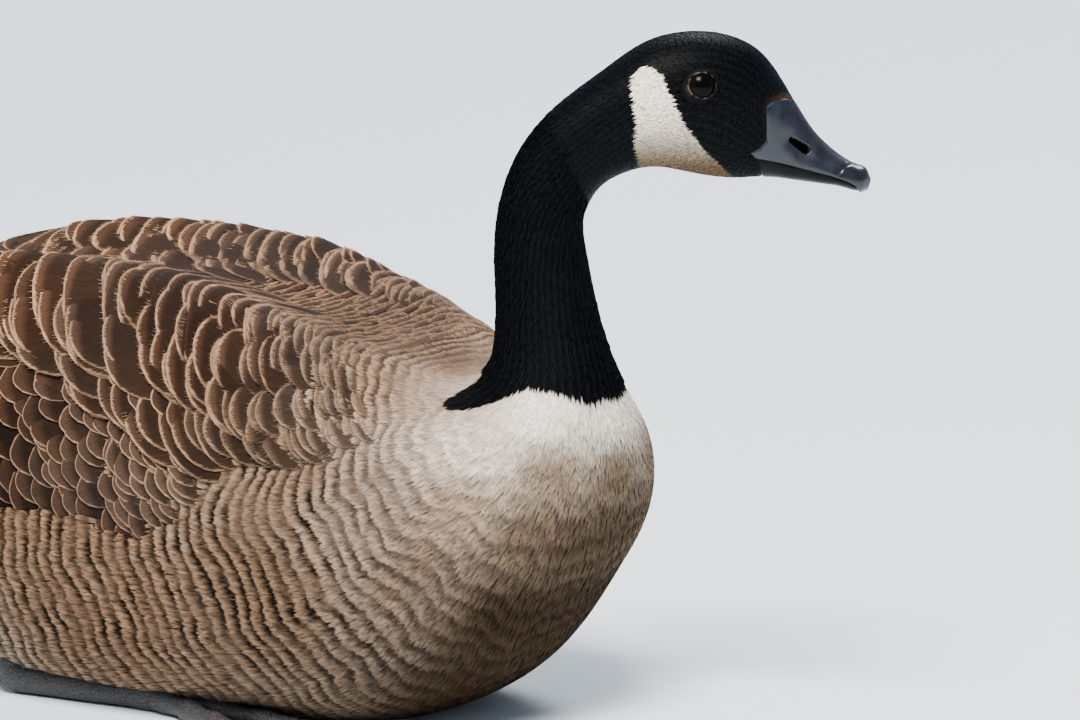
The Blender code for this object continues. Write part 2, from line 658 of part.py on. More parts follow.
def wing_vanes(side):
    """The meshes of all the feathers of one folded wing, each a little unlike its neighbours."""
    draws = np.random.default_rng(FEATHER_SEED + side)
    meshes = [primary_mesh(level, side, draws) for level in range(PRIMARIES)]
    span = WING_END - WING_START
    for along, share, length, width, slant, root, tip in TERTIALS + SECONDARIES:
        place = WING_START + along * span
        heights = (root * MM, tip * MM)
        run = (length + draws.normal(0, LONG_SPREAD)) * MM
        course = wing_course(place, share, slant * DEG, run, heights, side)
        meshes.append(vane_mesh(course, run, width * MM, LONG_VANE, LONG_CAMBER))
    for row, (along, count, first, last, length, upper_slant, lower_slant, tip) in enumerate(COVER_ROWS):
        outline = SMALL_VANE if row < SMALL_ROWS else BROAD_VANE
        place = WING_START + along * span
        middle = place + length * MM / 2
        arc = float(WING_LOWER(middle) - WING_UPPER(middle)) * float(HALF_WIDTH(middle))
        width = COVER_WIDTH * arc * (last - first) / (count - 1)
        for i in range(count):
            share = first + (last - first) * i / (count - 1)
            slant = (upper_slant + (lower_slant - upper_slant) * share + draws.normal(0, SLANT_SPREAD)) * DEG
            run = length * (1 + draws.normal(0, SHORT_SPREAD)) * MM
            heights = (COVER_ROOT_HEIGHT, tip * MM)
            course = wing_course(place + draws.normal(0, PLACE_SPREAD), share, slant, run, heights, side)
            meshes.append(vane_mesh(course, run, width, outline, SHORT_CAMBER))
    return meshes


# The tail: pairs of long feathers, the middle pair on top.
TAIL_PAIRS = 6
TAIL_ROOT = (-262 * MM, 117.6 * MM)  # x and z where the middle pair starts
TAIL_LENGTH = 92 * MM
TAIL_STEP = 1.4 * MM  # each pair is so much shorter than the one before it
TAIL_WIDTH = 22 * MM
TAIL_HEADING = 1.5 * DEG  # of the middle pair, outwards
TAIL_FAN = 4.2 * DEG  # between neighbours
TAIL_PITCH = 1.5 * MM
TAIL_DROOP = 0.04
TAIL_ARCH = 9.0  # its fall to each side, for each square metre
TAIL_ROOT_SIDE = 4.5 * MM  # from the middle to the first root
TAIL_ROOT_SPREAD = 3.6 * MM
TAIL_COVERTS = 3  # white feathers over and under each half of the tail's root
TAIL_COVERT_ARCS = ((4 * DEG, 84 * DEG), (104 * DEG, 176 * DEG))  # that they take up, from the top
TAIL_COVERT_PART = 0.9  # width of each, of the distance to its neighbour
COVERT_LENGTH = 36 * MM
COVERT_HEIGHTS = (-2.2 * MM, 0.3 * MM)


def rectrix_mesh(number, side, draws):
    """One tail feather: number 0 is beside the middle, where the left feather lies over the right one."""
    heading = TAIL_HEADING + number * TAIL_FAN
    x, z = TAIL_ROOT
    y = TAIL_ROOT_SPREAD * number + TAIL_ROOT_SIDE
    level = number - 1 if number == 0 and side > 0 else number

    def course(run, across, height):
        at_y = y + run * math.sin(heading) + across * math.cos(heading)
        at_x = x - run * math.cos(heading) + across * math.sin(heading)
        at_z = z - TAIL_DROOP * (x - at_x) - level * TAIL_PITCH + height - TAIL_ARCH * at_y**2
        return np.stack([at_x, side * at_y, at_z], axis=-1)

    length = TAIL_LENGTH - TAIL_STEP * number + draws.normal(0, MM)
    return vane_mesh(course, length, TAIL_WIDTH, LONG_VANE, LONG_CAMBER)


def tail_covert_mesh(number, side, arc):
    """One white feather round the root of the tail."""
    place = PLACE["tail_middle"] + 2 * MM
    first_angle, last_angle = arc
    angle = first_angle + (last_angle - first_angle) * (number + 0.5) / TAIL_COVERTS
    around = size_around(place, angle)
    width = TAIL_COVERT_PART * around * (last_angle - first_angle) / TAIL_COVERTS
    root, tip = COVERT_HEIGHTS

    def course(run, across, height):
        rise = root + (tip - root) * run / COVERT_LENGTH
        return body_point(place + run, angle + across / around, -(rise + height)) * (1, side, 1)

    return vane_mesh(course, COVERT_LENGTH, width, SMALL_VANE, SHORT_CAMBER)


def tube_object(name, line, side, collection):
    """A closed tube along a line of points with a radius at each, in millimetres; side is -1 on the right."""
    curve = bpy.data.curves.new(name, "CURVE")
    curve.dimensions = "3D"
    curve.bevel_depth = MM
    curve.bevel_resolution = 1
    curve.use_fill_caps = True
    spline = curve.splines.new("POLY")
    spline.points.add(len(line) - 1)
    for each, ((x, y, z), radius) in zip(spline.points, line):
        each.co = (x * MM, side * y * MM, z * MM, 1)
        each.radius = radius
    drawn = bpy.data.objects.new(name, curve)
    bpy.context.scene.collection.objects.link(drawn)
    mesh = bpy.data.meshes.new_from_object(drawn.evaluated_get(bpy.context.evaluated_depsgraph_get()))
    bpy.data.objects.remove(drawn)
    shape = bmesh.new()
    shape.from_mesh(mesh)
    bpy.data.meshes.remove(mesh)
    bmesh.ops.remove_doubles(shape, verts=shape.verts, dist=1e-6)
    return add_object(name, finished_mesh(name, shape), collection)


# The leg lies on the floor beside the belly. Lines of points with their radii, in millimetres.
HEEL = (-72, 74, 7.5)
BALL = (6, 70, 6)
THIGH_TOP = (-40, 62, 34)
TOES = (  # root, tip and radius, the inner toe first
    ((4.6, 68.3, 5.7), (70, 48, 2.6), 5.2),
    ((6.7, 70.4, 6.2), (88, 72, 2.8), 5.6),
    ((5.3, 72.1, 5.8), (66, 94, 2.6), 5.2),
)
TOE_JOINTS = (  # share of a toe's length, share of its radius
    (0, 1.1), (0.3, 0.8), (0.36, 0.95), (0.62, 0.7), (0.68, 0.82), (0.9, 0.62), (1, 0.2),
)
SHANK = ((HEEL, 8), ((-58, 74, 7), 6.5), ((-30, 73, 6), 5.6), (BALL, 7))
THIGH = (((-70.6, 73.3, 8.2), 7.5), (THIGH_TOP, 13))
HIND_TOE = (((-4, 68, 5), 4), ((-14, 62, 3), 1.2))
WEB_THICKNESS = 1.6
WEB_CORNER = (1.5, 69.4)  # where the web starts, inside the ball of the foot
WEB_REACH = 0.86  # share of the toes' length that the web reaches
WEB_HOLLOW = 0.16  # of its front edge between two toes
BELOW_FLOOR = 5 * MM
FLOOR_BOX = ((-0.3, -0.3, -0.1), (0.3, 0.3, 0))  # corners of what is cut off under the leg, metres


def leg_parts(side, cutters):
    """The closed pieces of one leg: shank, thigh, toes with their claws, and web."""
    lines = [("shank", SHANK), ("thigh", THIGH), ("hind_toe", HIND_TOE)]
    for root, tip, radius in TOES:
        start, end = Vector(root), Vector(tip)
        lines.append(("toe", [(start.lerp(end, share), radius * part) for share, part in TOE_JOINTS]))
    pieces = [tube_object(name, line, side, cutters) for name, line in lines]
    tips = [Vector(root).lerp(Vector(tip), WEB_REACH).to_2d() for root, tip, _ in TOES]
    pieces.append(web_object(side, tips, cutters))
    return pieces


def web_object(side, tips, collection):
    """The skin between the toes, with a hollow front edge between two toes."""
    corner = Vector(WEB_CORNER)
    outline = [corner]
    for first, second in zip(tips[:-1], tips[1:]):
        for share in (0, 0.25, 0.5, 0.75):
            hollow = 4 * share * (1 - share) * WEB_HOLLOW
            outline.append(first.lerp(second, share).lerp(corner, hollow))
    outline.append(tips[-1])
    shape = bmesh.new()
    face = shape.faces.new([shape.verts.new((p.x * MM, side * p.y * MM, -MM)) for p in outline])
    up = bmesh.ops.extrude_face_region(shape, geom=[face])["geom"]
    raised = [v for v in up if isinstance(v, bmesh.types.BMVert)]
    bmesh.ops.translate(shape, verts=raised, vec=(0, 0, (WEB_THICKNESS + 1) * MM))
    return add_object("web", finished_mesh("web", shape), collection)


def box_object(name, low, high, collection):
    """A box between two corners, in metres."""
    shape = bmesh.new()
    bmesh.ops.create_cube(shape, size=1)
    size = Vector(high) - Vector(low)
    bmesh.ops.scale(shape, verts=shape.verts, vec=size)
    bmesh.ops.translate(shape, verts=shape.verts, vec=(Vector(high) + Vector(low)) / 2)
    return add_object(name, finished_mesh(name, shape), collection)


def build_leg(name, side, collection, cutters, finish):
    """One leg, cut off flat where it lies on the floor and clear of the belly above it."""
    pieces = leg_parts(side, cutters)
    leg = add_object(name, pieces[0].data.copy(), collection, finish)
    bpy.data.objects.remove(pieces[0])
    combine(leg, pieces[1:], "UNION")
    largest_body(leg)
    start, end = PLACE["collar"], PLACE["tail_root"]
    places = np.concatenate([[start], wing_places(), [end]])
    rings = [body_clear_ring(place) for place in places]
    belly = add_object("belly_cutter", loft_mesh("belly_cutter", rings), cutters)
    floor = box_object("floor_cutter", FLOOR_BOX[0], FLOOR_BOX[1], cutters)
    combine(leg, [belly], "DIFFERENCE", "MANIFOLD")
    combine(leg, [floor], "DIFFERENCE", "MANIFOLD")
    largest_body(leg)


def body_clear_ring(place):
    """A ring round the torso that is a gap wider than it, and that goes down below the floor."""
    back, wing, belly = half_angles(place)
    angles = np.concatenate([back, wing, belly])
    angles = np.concatenate([-angles[:0:-1], angles[:-1]])
    ring = body_point(place, angles, -GAP)
    ring[:, 2] = np.where(ring[:, 2] < GAP, -BELOW_FLOOR, ring[:, 2])
    return ring


def build_wing(name, side, collection, cutters, finish):
    """One folded wing: its core with all its feathers."""
    wing = add_object(name, wing_core_mesh(name, side), collection, finish)
    combine(wing, [add_object("vane", mesh, cutters) for mesh in wing_vanes(side)], "UNION")
    largest_body(wing)


def build_tail(collection, cutters, finish):
    """The tail: its core, its long feathers and the feathers over their roots."""
    rings = plain_rings(PLACE["tail_root"] + GAP / 2, PLACE["tail_core_end"], 6, 22)
    tail = add_object("tail", loft_mesh("tail", rings), collection, finish)
    draws = np.random.default_rng(FEATHER_SEED)
    meshes = [rectrix_mesh(number, side, draws) for number in range(TAIL_PAIRS) for side in (1, -1)]
    for side in (1, -1):
        for arc in TAIL_COVERT_ARCS:
            meshes += [tail_covert_mesh(number, side, arc) for number in range(TAIL_COVERTS)]
    combine(tail, [add_object("vane", mesh, cutters) for mesh in meshes], "UNION")
    largest_body(tail)


def clear_scene():
    """Removes what the scene holds."""
    for each in list(bpy.data.objects):
        bpy.data.objects.remove(each)


def main():
    """Builds every piece of the bird."""
    clear_scene()
    scene = bpy.context.scene
    goose = bpy.data.collections.new("canada_goose")
    cutters = bpy.data.collections.new("cutters")
    scene.collection.children.link(goose)
    scene.collection.children.link(cutters)
    finishes = {
        "body": material("body_feathers", (0.36, 0.27, 0.19), 0.8),
        "black": material("black_feathers", (0.02, 0.02, 0.022), 0.6),
        "wing": material("wing_feathers", (0.2, 0.14, 0.1), 0.75),
        "bill": material("bill", (0.025, 0.028, 0.032), 0.35),
        "eye": material("eye", (0.015, 0.01, 0.008), 0.08),
        "leg": material("leg_skin", (0.03, 0.03, 0.03), 0.5),
    }
    add_object("torso", torso_mesh(), goose, finishes["body"])
    neck_rings = plain_rings(PLACE["throat"] + GAP / 2, PLACE["sock_end"] - GAP / 2, 12, 32)
    add_object("neck", loft_mesh("neck", neck_rings), goose, finishes["black"])
    build_head(goose, cutters, finishes)
    for side, name in ((1, "left"), (-1, "right")):
        build_wing("wing_" + name, side, goose, cutters, finishes["wing"])
        build_leg("leg_" + name, side, goose, cutters, finishes["leg"])
    build_tail(goose, cutters, finishes["black"])


main()
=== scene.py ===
"""Looks of a Canada goose at rest on its belly: skin, feathers, bill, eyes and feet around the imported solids.

Frame: metres, +X towards the breast, +Y towards the bird's left, +Z up, the belly on the floor at z = 0.
The bird's whole surface is one function of two parameters: the place along the spine, from the tip of the bill
to the tail, and the angle round the section there, from its top towards the left.
"""

from __future__ import annotations

import logging
import math
from dataclasses import dataclass, field
from enum import Enum
from typing import Callable, Sequence

import bmesh
import bpy
import numpy as np
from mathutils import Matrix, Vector


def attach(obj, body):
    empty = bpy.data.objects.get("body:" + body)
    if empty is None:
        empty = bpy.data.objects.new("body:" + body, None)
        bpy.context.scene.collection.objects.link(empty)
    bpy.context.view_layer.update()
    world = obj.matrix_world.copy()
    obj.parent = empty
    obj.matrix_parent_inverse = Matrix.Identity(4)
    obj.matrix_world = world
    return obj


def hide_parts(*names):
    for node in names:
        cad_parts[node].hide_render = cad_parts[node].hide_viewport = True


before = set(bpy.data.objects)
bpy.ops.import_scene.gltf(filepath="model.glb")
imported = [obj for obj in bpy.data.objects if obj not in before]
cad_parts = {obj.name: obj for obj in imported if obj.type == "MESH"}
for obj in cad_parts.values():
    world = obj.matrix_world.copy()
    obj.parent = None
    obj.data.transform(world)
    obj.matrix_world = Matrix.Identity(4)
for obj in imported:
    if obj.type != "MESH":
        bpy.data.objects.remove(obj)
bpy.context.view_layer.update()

LOG = logging.getLogger("goose")
Array = np.ndarray
Colour = tuple[float, float, float]
Table = tuple[tuple[float, ...], ...]
Piece, Material, Node, Socket = bpy.types.Object, bpy.types.Material, bpy.types.Node, bpy.types.NodeSocket
MM = 0.001
DEG = math.pi / 180
UNWRAP_MARGIN = 0.01  # left free round the skin's unwrap
PATCH = 0.003  # side of a tuft's patch on that unwrap
DOUBLES = 1e-6  # distance under which two vertices are one


def ease(share: Array) -> Array:
    """0 before 0, 1 after 1, and 3 s^2 - 2 s^3 between."""
    share = np.clip(share, 0, 1)
    return share * share * (3 - 2 * share)


def bump_at(value: Array, middle: float, width: float) -> Array:
    """A bell curve: exp(-((value - middle) / width)^2)."""
    return np.exp(-(((value - middle) / width) ** 2))


class Spline:
    """A natural cubic spline through rows of values."""

    def __init__(self, knots: Array, values: Array) -> None:
        """Solves for the bend at each knot.

        Args:
            knots: Rising places, one for each row.
            values: One row of numbers for each knot.
        """
        self.knots = np.asarray(knots, float)
        self.values = np.asarray(values, float).reshape(len(self.knots), -1)
        step = np.diff(self.knots)
        count = len(self.knots)
        system = np.eye(count)
        right = np.zeros_like(self.values)
        inner = np.arange(1, count - 1)
        system[inner, inner - 1] = step[:-1]
        system[inner, inner] = 2 * (step[:-1] + step[1:])
        system[inner, inner + 1] = step[1:]
        slope = np.diff(self.values, axis=0) / step[:, None]
        right[1:-1] = 6 * np.diff(slope, axis=0)
        self.bend = np.linalg.solve(system, right)

    def __call__(self, place: Array) -> Array:
        """Reads the spline: each number is a cubic between two knots.

        Args:
            place: Where to read, of any shape.
        Returns:
            The values, with one more axis at the end.
        """
        place = np.asarray(place, float)
        i = np.clip(np.searchsorted(self.knots, place) - 1, 0, len(self.knots) - 2)
        h = (self.knots[i + 1] - self.knots[i])[..., None]
        before = (self.knots[i + 1] - place)[..., None] / h
        after = (place - self.knots[i])[..., None] / h
        cubic = (before**3 - before) * self.bend[i] + (after**3 - after) * self.bend[i + 1]
        return before * self.values[i] + after * self.values[i + 1] + cubic * h**2 / 6


STATIONS = (
    ("bill_tip", (306.8, 246), (305.8, 243), 2.5, 0.50, 0.0, 0),
    ("nail", (305, 250.3), (302.5, 241.9), 6.2, 0.55, 0.0, 0),
    ("bill_front", (300, 253.8), (296.5, 243.0), 9.2, 0.60, 0.0, 0),
    ("bill_middle", (289.6, 260.8), (283.5, 245.4), 10.8, 0.66, 0.0, 0),
    ("nostrils", (282, 268.6), (272, 246.9), 11.8, 0.62, 0.0, 0),
    ("bill_base", (275.5, 278.7), (262, 247.9), 12.8, 0.56, 0.0, 0),
    ("lores", (269, 290), (251, 247.4), 16.5, 0.52, 0.0, 0),
    ("brow", (260, 302.5), (241, 247.6), 20, 0.50, 0.0, 0),
    ("eye", (247, 310.3), (229, 249.4), 22.5, 0.48, 0.0, 0),
    ("crown", (231, 312.8), (215, 252), 24, 0.48, 0.0, 0),
    ("occiput", (210, 309), (203, 250.8), 23, 0.50, 0.0, 0),
    ("nape", (190, 296), (193, 246.5), 20.5, 0.50, 0.0, 0),
    ("throat", (168, 279), (186.5, 240.5), 18.5, 0.50, 0.0, 0),
    ("hook", (151, 257.5), (182.5, 232.5), 18, 0.50, 0.0, 0),
    ("upper_neck", (142.6, 232), (181.4, 224), 18.5, 0.50, 0.0, 0),
    ("middle_neck", (141, 213), (182.8, 214), 19.5, 0.50, 0.0, 0),
    ("lower_neck", (141.8, 193), (186.4, 195), 21.3, 0.50, 0.0, 0),
    ("neck_root", (142.8, 175), (191.8, 173), 25.2, 0.50, 0.0, 0),
    ("sock_end", (138.5, 162), (199, 150), 35.5, 0.50, 0.0, 0),
    ("collar", (125, 159), (203.5, 125), 55, 0.48, 0.0, 0),
    ("shoulder", (110, 163), (198, 93), 73, 0.46, 0.02, 2),
    ("breast", (93, 168), (176, 58), 85, 0.46, 0.04, 8),
    ("fore_belly", (72, 173), (150, 26), 93.5, 0.46, 0.05, 14),
    ("wing_front", (48, 176), (114, 3), 100, 0.46, 0.06, 18),
    ("keel", (20, 179.5), (70, -5), 104, 0.46, 0.06, 22),
    ("middle", (-15, 182), (15, -6), 106, 0.47, 0.06, 23),
    ("wing_back", (-60, 182), (-50, -6), 105, 0.48, 0.06, 23),
    ("hip", (-105, 179), (-110, -4), 99, 0.48, 0.05, 22),
    ("vent", (-150, 171), (-165, 8), 86, 0.48, 0.04, 17),
    ("rump", (-190, 157), (-208, 35), 67, 0.48, 0.03, 7),
    ("tail_root", (-225, 141), (-238, 68), 49, 0.48, 0.02, 0),
    ("tail_middle", (-256, 128), (-266, 92), 39, 0.50, 0.0, 0),
    ("covert_tips", (-288, 121.5), (-296, 109), 31, 0.50, 0.0, 0),
    ("tail_core_end", (-300, 119.5), (-304, 113), 26, 0.50, 0.0, 0),
)
"""Sections: name, top (x, z), bottom (x, z), half width, share above the widest, squareness, ridge. Millimetres."""


@dataclass
class Body:
    """The bird's outline, which the tips of its coat reach."""

    turn_axis_x: float = 165.5 * MM
    head_turn: float = 35 * DEG
    ridge_angle: float = 32 * DEG
    ridge_spread: float = 16 * DEG
    place: dict[str, float] = field(init=False)

    def __post_init__(self) -> None:
        """Lays a spline through the stations."""
        table = np.array([[*s[1], *s[2], s[3], 1000 * s[4], 1000 * s[5], s[6]] for s in STATIONS]) * MM
        middles = (table[:, 0:2] + table[:, 2:4]) / 2
        knots = np.concatenate([[0], np.cumsum(np.linalg.norm(np.diff(middles, axis=0), axis=1))])
        self.place = {s[0]: float(k) for s, k in zip(STATIONS, knots)}
        self.sizes = Spline(knots, table)

    def turned(self, x: Array, y: Array, place: Array) -> tuple[Array, Array]:
        """Turns the neck and head about an upright axis, fully from the throat on, eased along the neck."""
        start, end = self.place["neck_root"], self.place["throat"]
        angle = self.head_turn * ease((start - place) / (start - end))
        dx = x - self.turn_axis_x
        return self.turn_axis_x + dx * np.cos(angle) - y * np.sin(angle), dx * np.sin(angle) + y * np.cos(angle)

    def straight(self, place: Array, angle: Array, height: Array = 0.0) -> Array:
        """Points of the bird laid out straight, before its head turns.

        Each section is two half ellipses with fuller corners and a ridge along each wing: the middle plus the
        half axes times sine and cosine of the angle, lengthened by the height along its own radius.

        Args:
            place: Distance along the spine.
            angle: From the top of the section towards the left.
            height: How far outside the outline the point lies.
        Returns:
            Points, with a last axis of 3.
        """
        place, angle, height = np.broadcast_arrays(place, angle, height)
        size = self.sizes(np.clip(place, 0, self.sizes.knots[-1]))
        top_x, top_z, bottom_x, bottom_z, half, share, square, ridge = np.moveaxis(size, -1, 0)
        across, up = np.sin(angle), np.cos(angle)
        middle_x, middle_z = top_x + (bottom_x - top_x) * share, top_z + (bottom_z - top_z) * share
        fuller = 1 + np.sin(2 * angle) ** 2 * np.where(up > 0, 0.03, square + 0.02)
        reach = np.abs(up) * fuller
        depth = np.hypot(top_x - bottom_x, top_z - bottom_z)
        near_ridge = np.exp(-(((np.abs(angle) - self.ridge_angle) / self.ridge_spread) ** 2))
        lift = np.maximum(ridge, 0) * near_ridge
        dx = (np.where(up > 0, top_x, bottom_x) - middle_x) * reach + lift * (top_x - bottom_x) / depth
        dz = (np.where(up > 0, top_z, bottom_z) - middle_z) * reach + lift * (top_z - bottom_z) / depth
        dy = half * across * fuller
        keep = 1 + height / np.maximum(np.sqrt(dx**2 + dy**2 + dz**2), 1e-6)
        return np.stack([middle_x + dx * keep, dy * keep, np.maximum(middle_z + dz * keep, 0)], axis=-1)

    def point(self, place: Array, angle: Array, height: Array = 0.0) -> Array:
        """Points of the bird in its pose: the straight points, turned."""
        flat = self.straight(place, angle, height)
        x, y = self.turned(flat[..., 0], flat[..., 1], np.asarray(place))
        return np.stack([x, y, flat[..., 2]], axis=-1)

    def metric(self, place: Array, angle: Array) -> tuple[Array, Array]:
        """Metres of surface for a metre along the spine, and for a radian round the section, by differences."""
        step, turn = 4 * MM, 0.05
        along = self.point(place + step, angle) - self.point(place - step, angle)
        around = self.point(place, angle + turn) - self.point(place, angle - turn)
        return (
            np.maximum(np.linalg.norm(along, axis=-1) / (2 * step), 0.15),
            np.maximum(np.linalg.norm(around, axis=-1) / (2 * turn), 2 * MM),
        )

    def normal(self, place: Array, angle: Array) -> Array:
        """Unit vectors straight out of the surface: the cross product of its two directions."""
        along = self.point(place + MM, angle) - self.point(place - MM, angle)
        around = self.point(place, angle + 0.01) - self.point(place, angle - 0.01)
        out = np.cross(around, along)
        out /= np.maximum(np.linalg.norm(out, axis=-1, keepdims=True), 1e-12)
        away = self.point(place, angle) - self.point(place, angle, -5 * MM)
        return out * np.where((out * away).sum(-1, keepdims=True) < 0, -1, 1)


BODY = Body()
P = BODY.place


def mesh_object(
    name: str,
    points: Array,
    quads: Array,
    triangles: Array | None = None,
    maps: dict[str, Array] | None = None,
    values: dict[str, Array] | None = None,
    sharp: float = 55.0,
) -> Piece:
    """Puts arrays into a new mesh object at the origin.

    Args:
        name: The object's name.
        points: Vertices.
        quads: Faces of four vertices.
        triangles: Faces of three vertices, if any.
        maps: UV maps, as two numbers for each vertex.
        values: Attributes, as one, three or four numbers for each vertex.
        sharp: Angle in degrees from which an edge is sharp.
    Returns:
        The new object.
    """
    points = np.asarray(points, np.float32).reshape(-1, 3)
    triangles = np.zeros((0, 3), int) if triangles is None else triangles
    corners = np.concatenate([np.asarray(quads).ravel(), np.asarray(triangles).ravel()]).astype(np.int32)
    starts = np.concatenate([np.arange(len(quads)) * 4, 4 * len(quads) + np.arange(len(triangles)) * 3])
    mesh = bpy.data.meshes.new(name)
    mesh.vertices.add(len(points))
    mesh.vertices.foreach_set("co", points.ravel())
    mesh.loops.add(len(corners))
    mesh.loops.foreach_set("vertex_index", corners)
    mesh.polygons.add(len(starts))
    mesh.polygons.foreach_set("loop_start", starts.astype(np.int32))
    mesh.update(calc_edges=True)
    for key, pairs in (maps or {}).items():
        layer = mesh.uv_layers.new(name=key)
        layer.data.foreach_set("uv", np.asarray(pairs, np.float32).reshape(-1, 2)[corners].ravel())
    kinds = {1: ("FLOAT", "value"), 3: ("FLOAT_VECTOR", "vector"), 4: ("FLOAT_COLOR", "color")}
    for key, numbers in (values or {}).items():
        numbers = np.asarray(numbers, np.float32).reshape(len(points), -1)
        kind, part = kinds[numbers.shape[1]]
        mesh.attributes.new(key, kind, "POINT").data.foreach_set(part, numbers.ravel())
    mesh.shade_smooth()
    mesh.set_sharp_from_angle(angle=sharp * DEG)
    made = bpy.data.objects.new(name, mesh)
    bpy.context.scene.collection.objects.link(made)
    return made


def grid_faces(rows: int, columns: int, closed: bool = False) -> Array:
    """Quads of a grid of vertices, with its last column joined to its first if closed."""
    i, j = np.meshgrid(np.arange(rows - 1) * columns, np.arange(columns if closed else columns - 1), indexing="ij")
    k = (j + 1) % columns
    return np.stack([i + j, i + k, i + columns + k, i + columns + j], -1).reshape(-1, 4)


def end_fans(rows: int, columns: int, closed: bool = True) -> Array:
    """Triangles that close a grid's first and last row round two more vertices, numbered after its own."""
    j = np.arange(columns if closed else columns - 1)
    k, last, tips = (j + 1) % columns, (rows - 1) * columns, np.full_like(j, rows * columns)
    return np.concatenate([np.stack([k, j, tips], -1), np.stack([last + j, last + k, tips + 1], -1)])


def with_alpha(colours: Array) -> Array:
    """Colours with an opaque fourth channel."""
    return np.concatenate([colours, np.ones((*colours.shape[:-1], 1))], axis=-1)


def unwrap(place: Array, angle: Array) -> Array:
    """The skin's own unwrap: the place along the bird and the angle round it, as shares within a margin."""
    shares = np.stack([place / BODY.sizes.knots[-1], angle / (2 * math.pi) + 0.5], -1)
    return shares * (1 - 2 * UNWRAP_MARGIN) + UNWRAP_MARGIN


def tuft_maps(place: Array, angle: Array, across: Array, along: Array) -> dict[str, Array]:
    """UV maps of tufts.

    Args:
        place: Place of each tuft's root on the skin.
        angle: Angle of each root.
        across: For every vertex, from -1 to 1 between the tuft's sides, one row for each tuft.
        along: For every vertex, from 0 at its root to 1 at its tip.
    Returns:
        The map vane, across and along as shares, and OFBake, a patch at the root's place on the skin's unwrap.
    """
    patch = np.stack([(along - 0.5) * PATCH, across * (PATCH / 2)], -1)
    return {"vane": np.stack([across * 0.5 + 0.5, along], -1), "OFBake": unwrap(place, angle)[:, None, :] + patch}


def mended(piece: Piece, fill: bool = False) -> Piece:
    """Merges a mesh's doubles, or fills its holes instead, and turns its faces outwards."""
    shape = bmesh.new()
    shape.from_mesh(piece.data)
    if fill:
        bmesh.ops.holes_fill(shape, edges=[edge for edge in shape.edges if edge.is_boundary], sides=0)
    else:
        bmesh.ops.remove_doubles(shape, verts=shape.verts, dist=DOUBLES)
    bmesh.ops.recalc_face_normals(shape, faces=shape.faces)
    shape.to_mesh(piece.data)
    shape.free()
    return piece


def dressed(piece: Piece, slot: str, *finishes: Material) -> Piece:
    """Gives a piece its materials and rides it on the root body."""
    for finish in finishes:
        piece.data.materials.append(finish)
    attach(piece, "root")
    return piece


# ---------------------------------------------------------------------------------------------- markings


@dataclass(frozen=True)
class Swatch:
    """The colours of the feathers around one spot: their tone and that of their edges, with painted shade in those
    under the body.
    """

    station: str
    angle: float
    tone: Colour
    rim: Colour


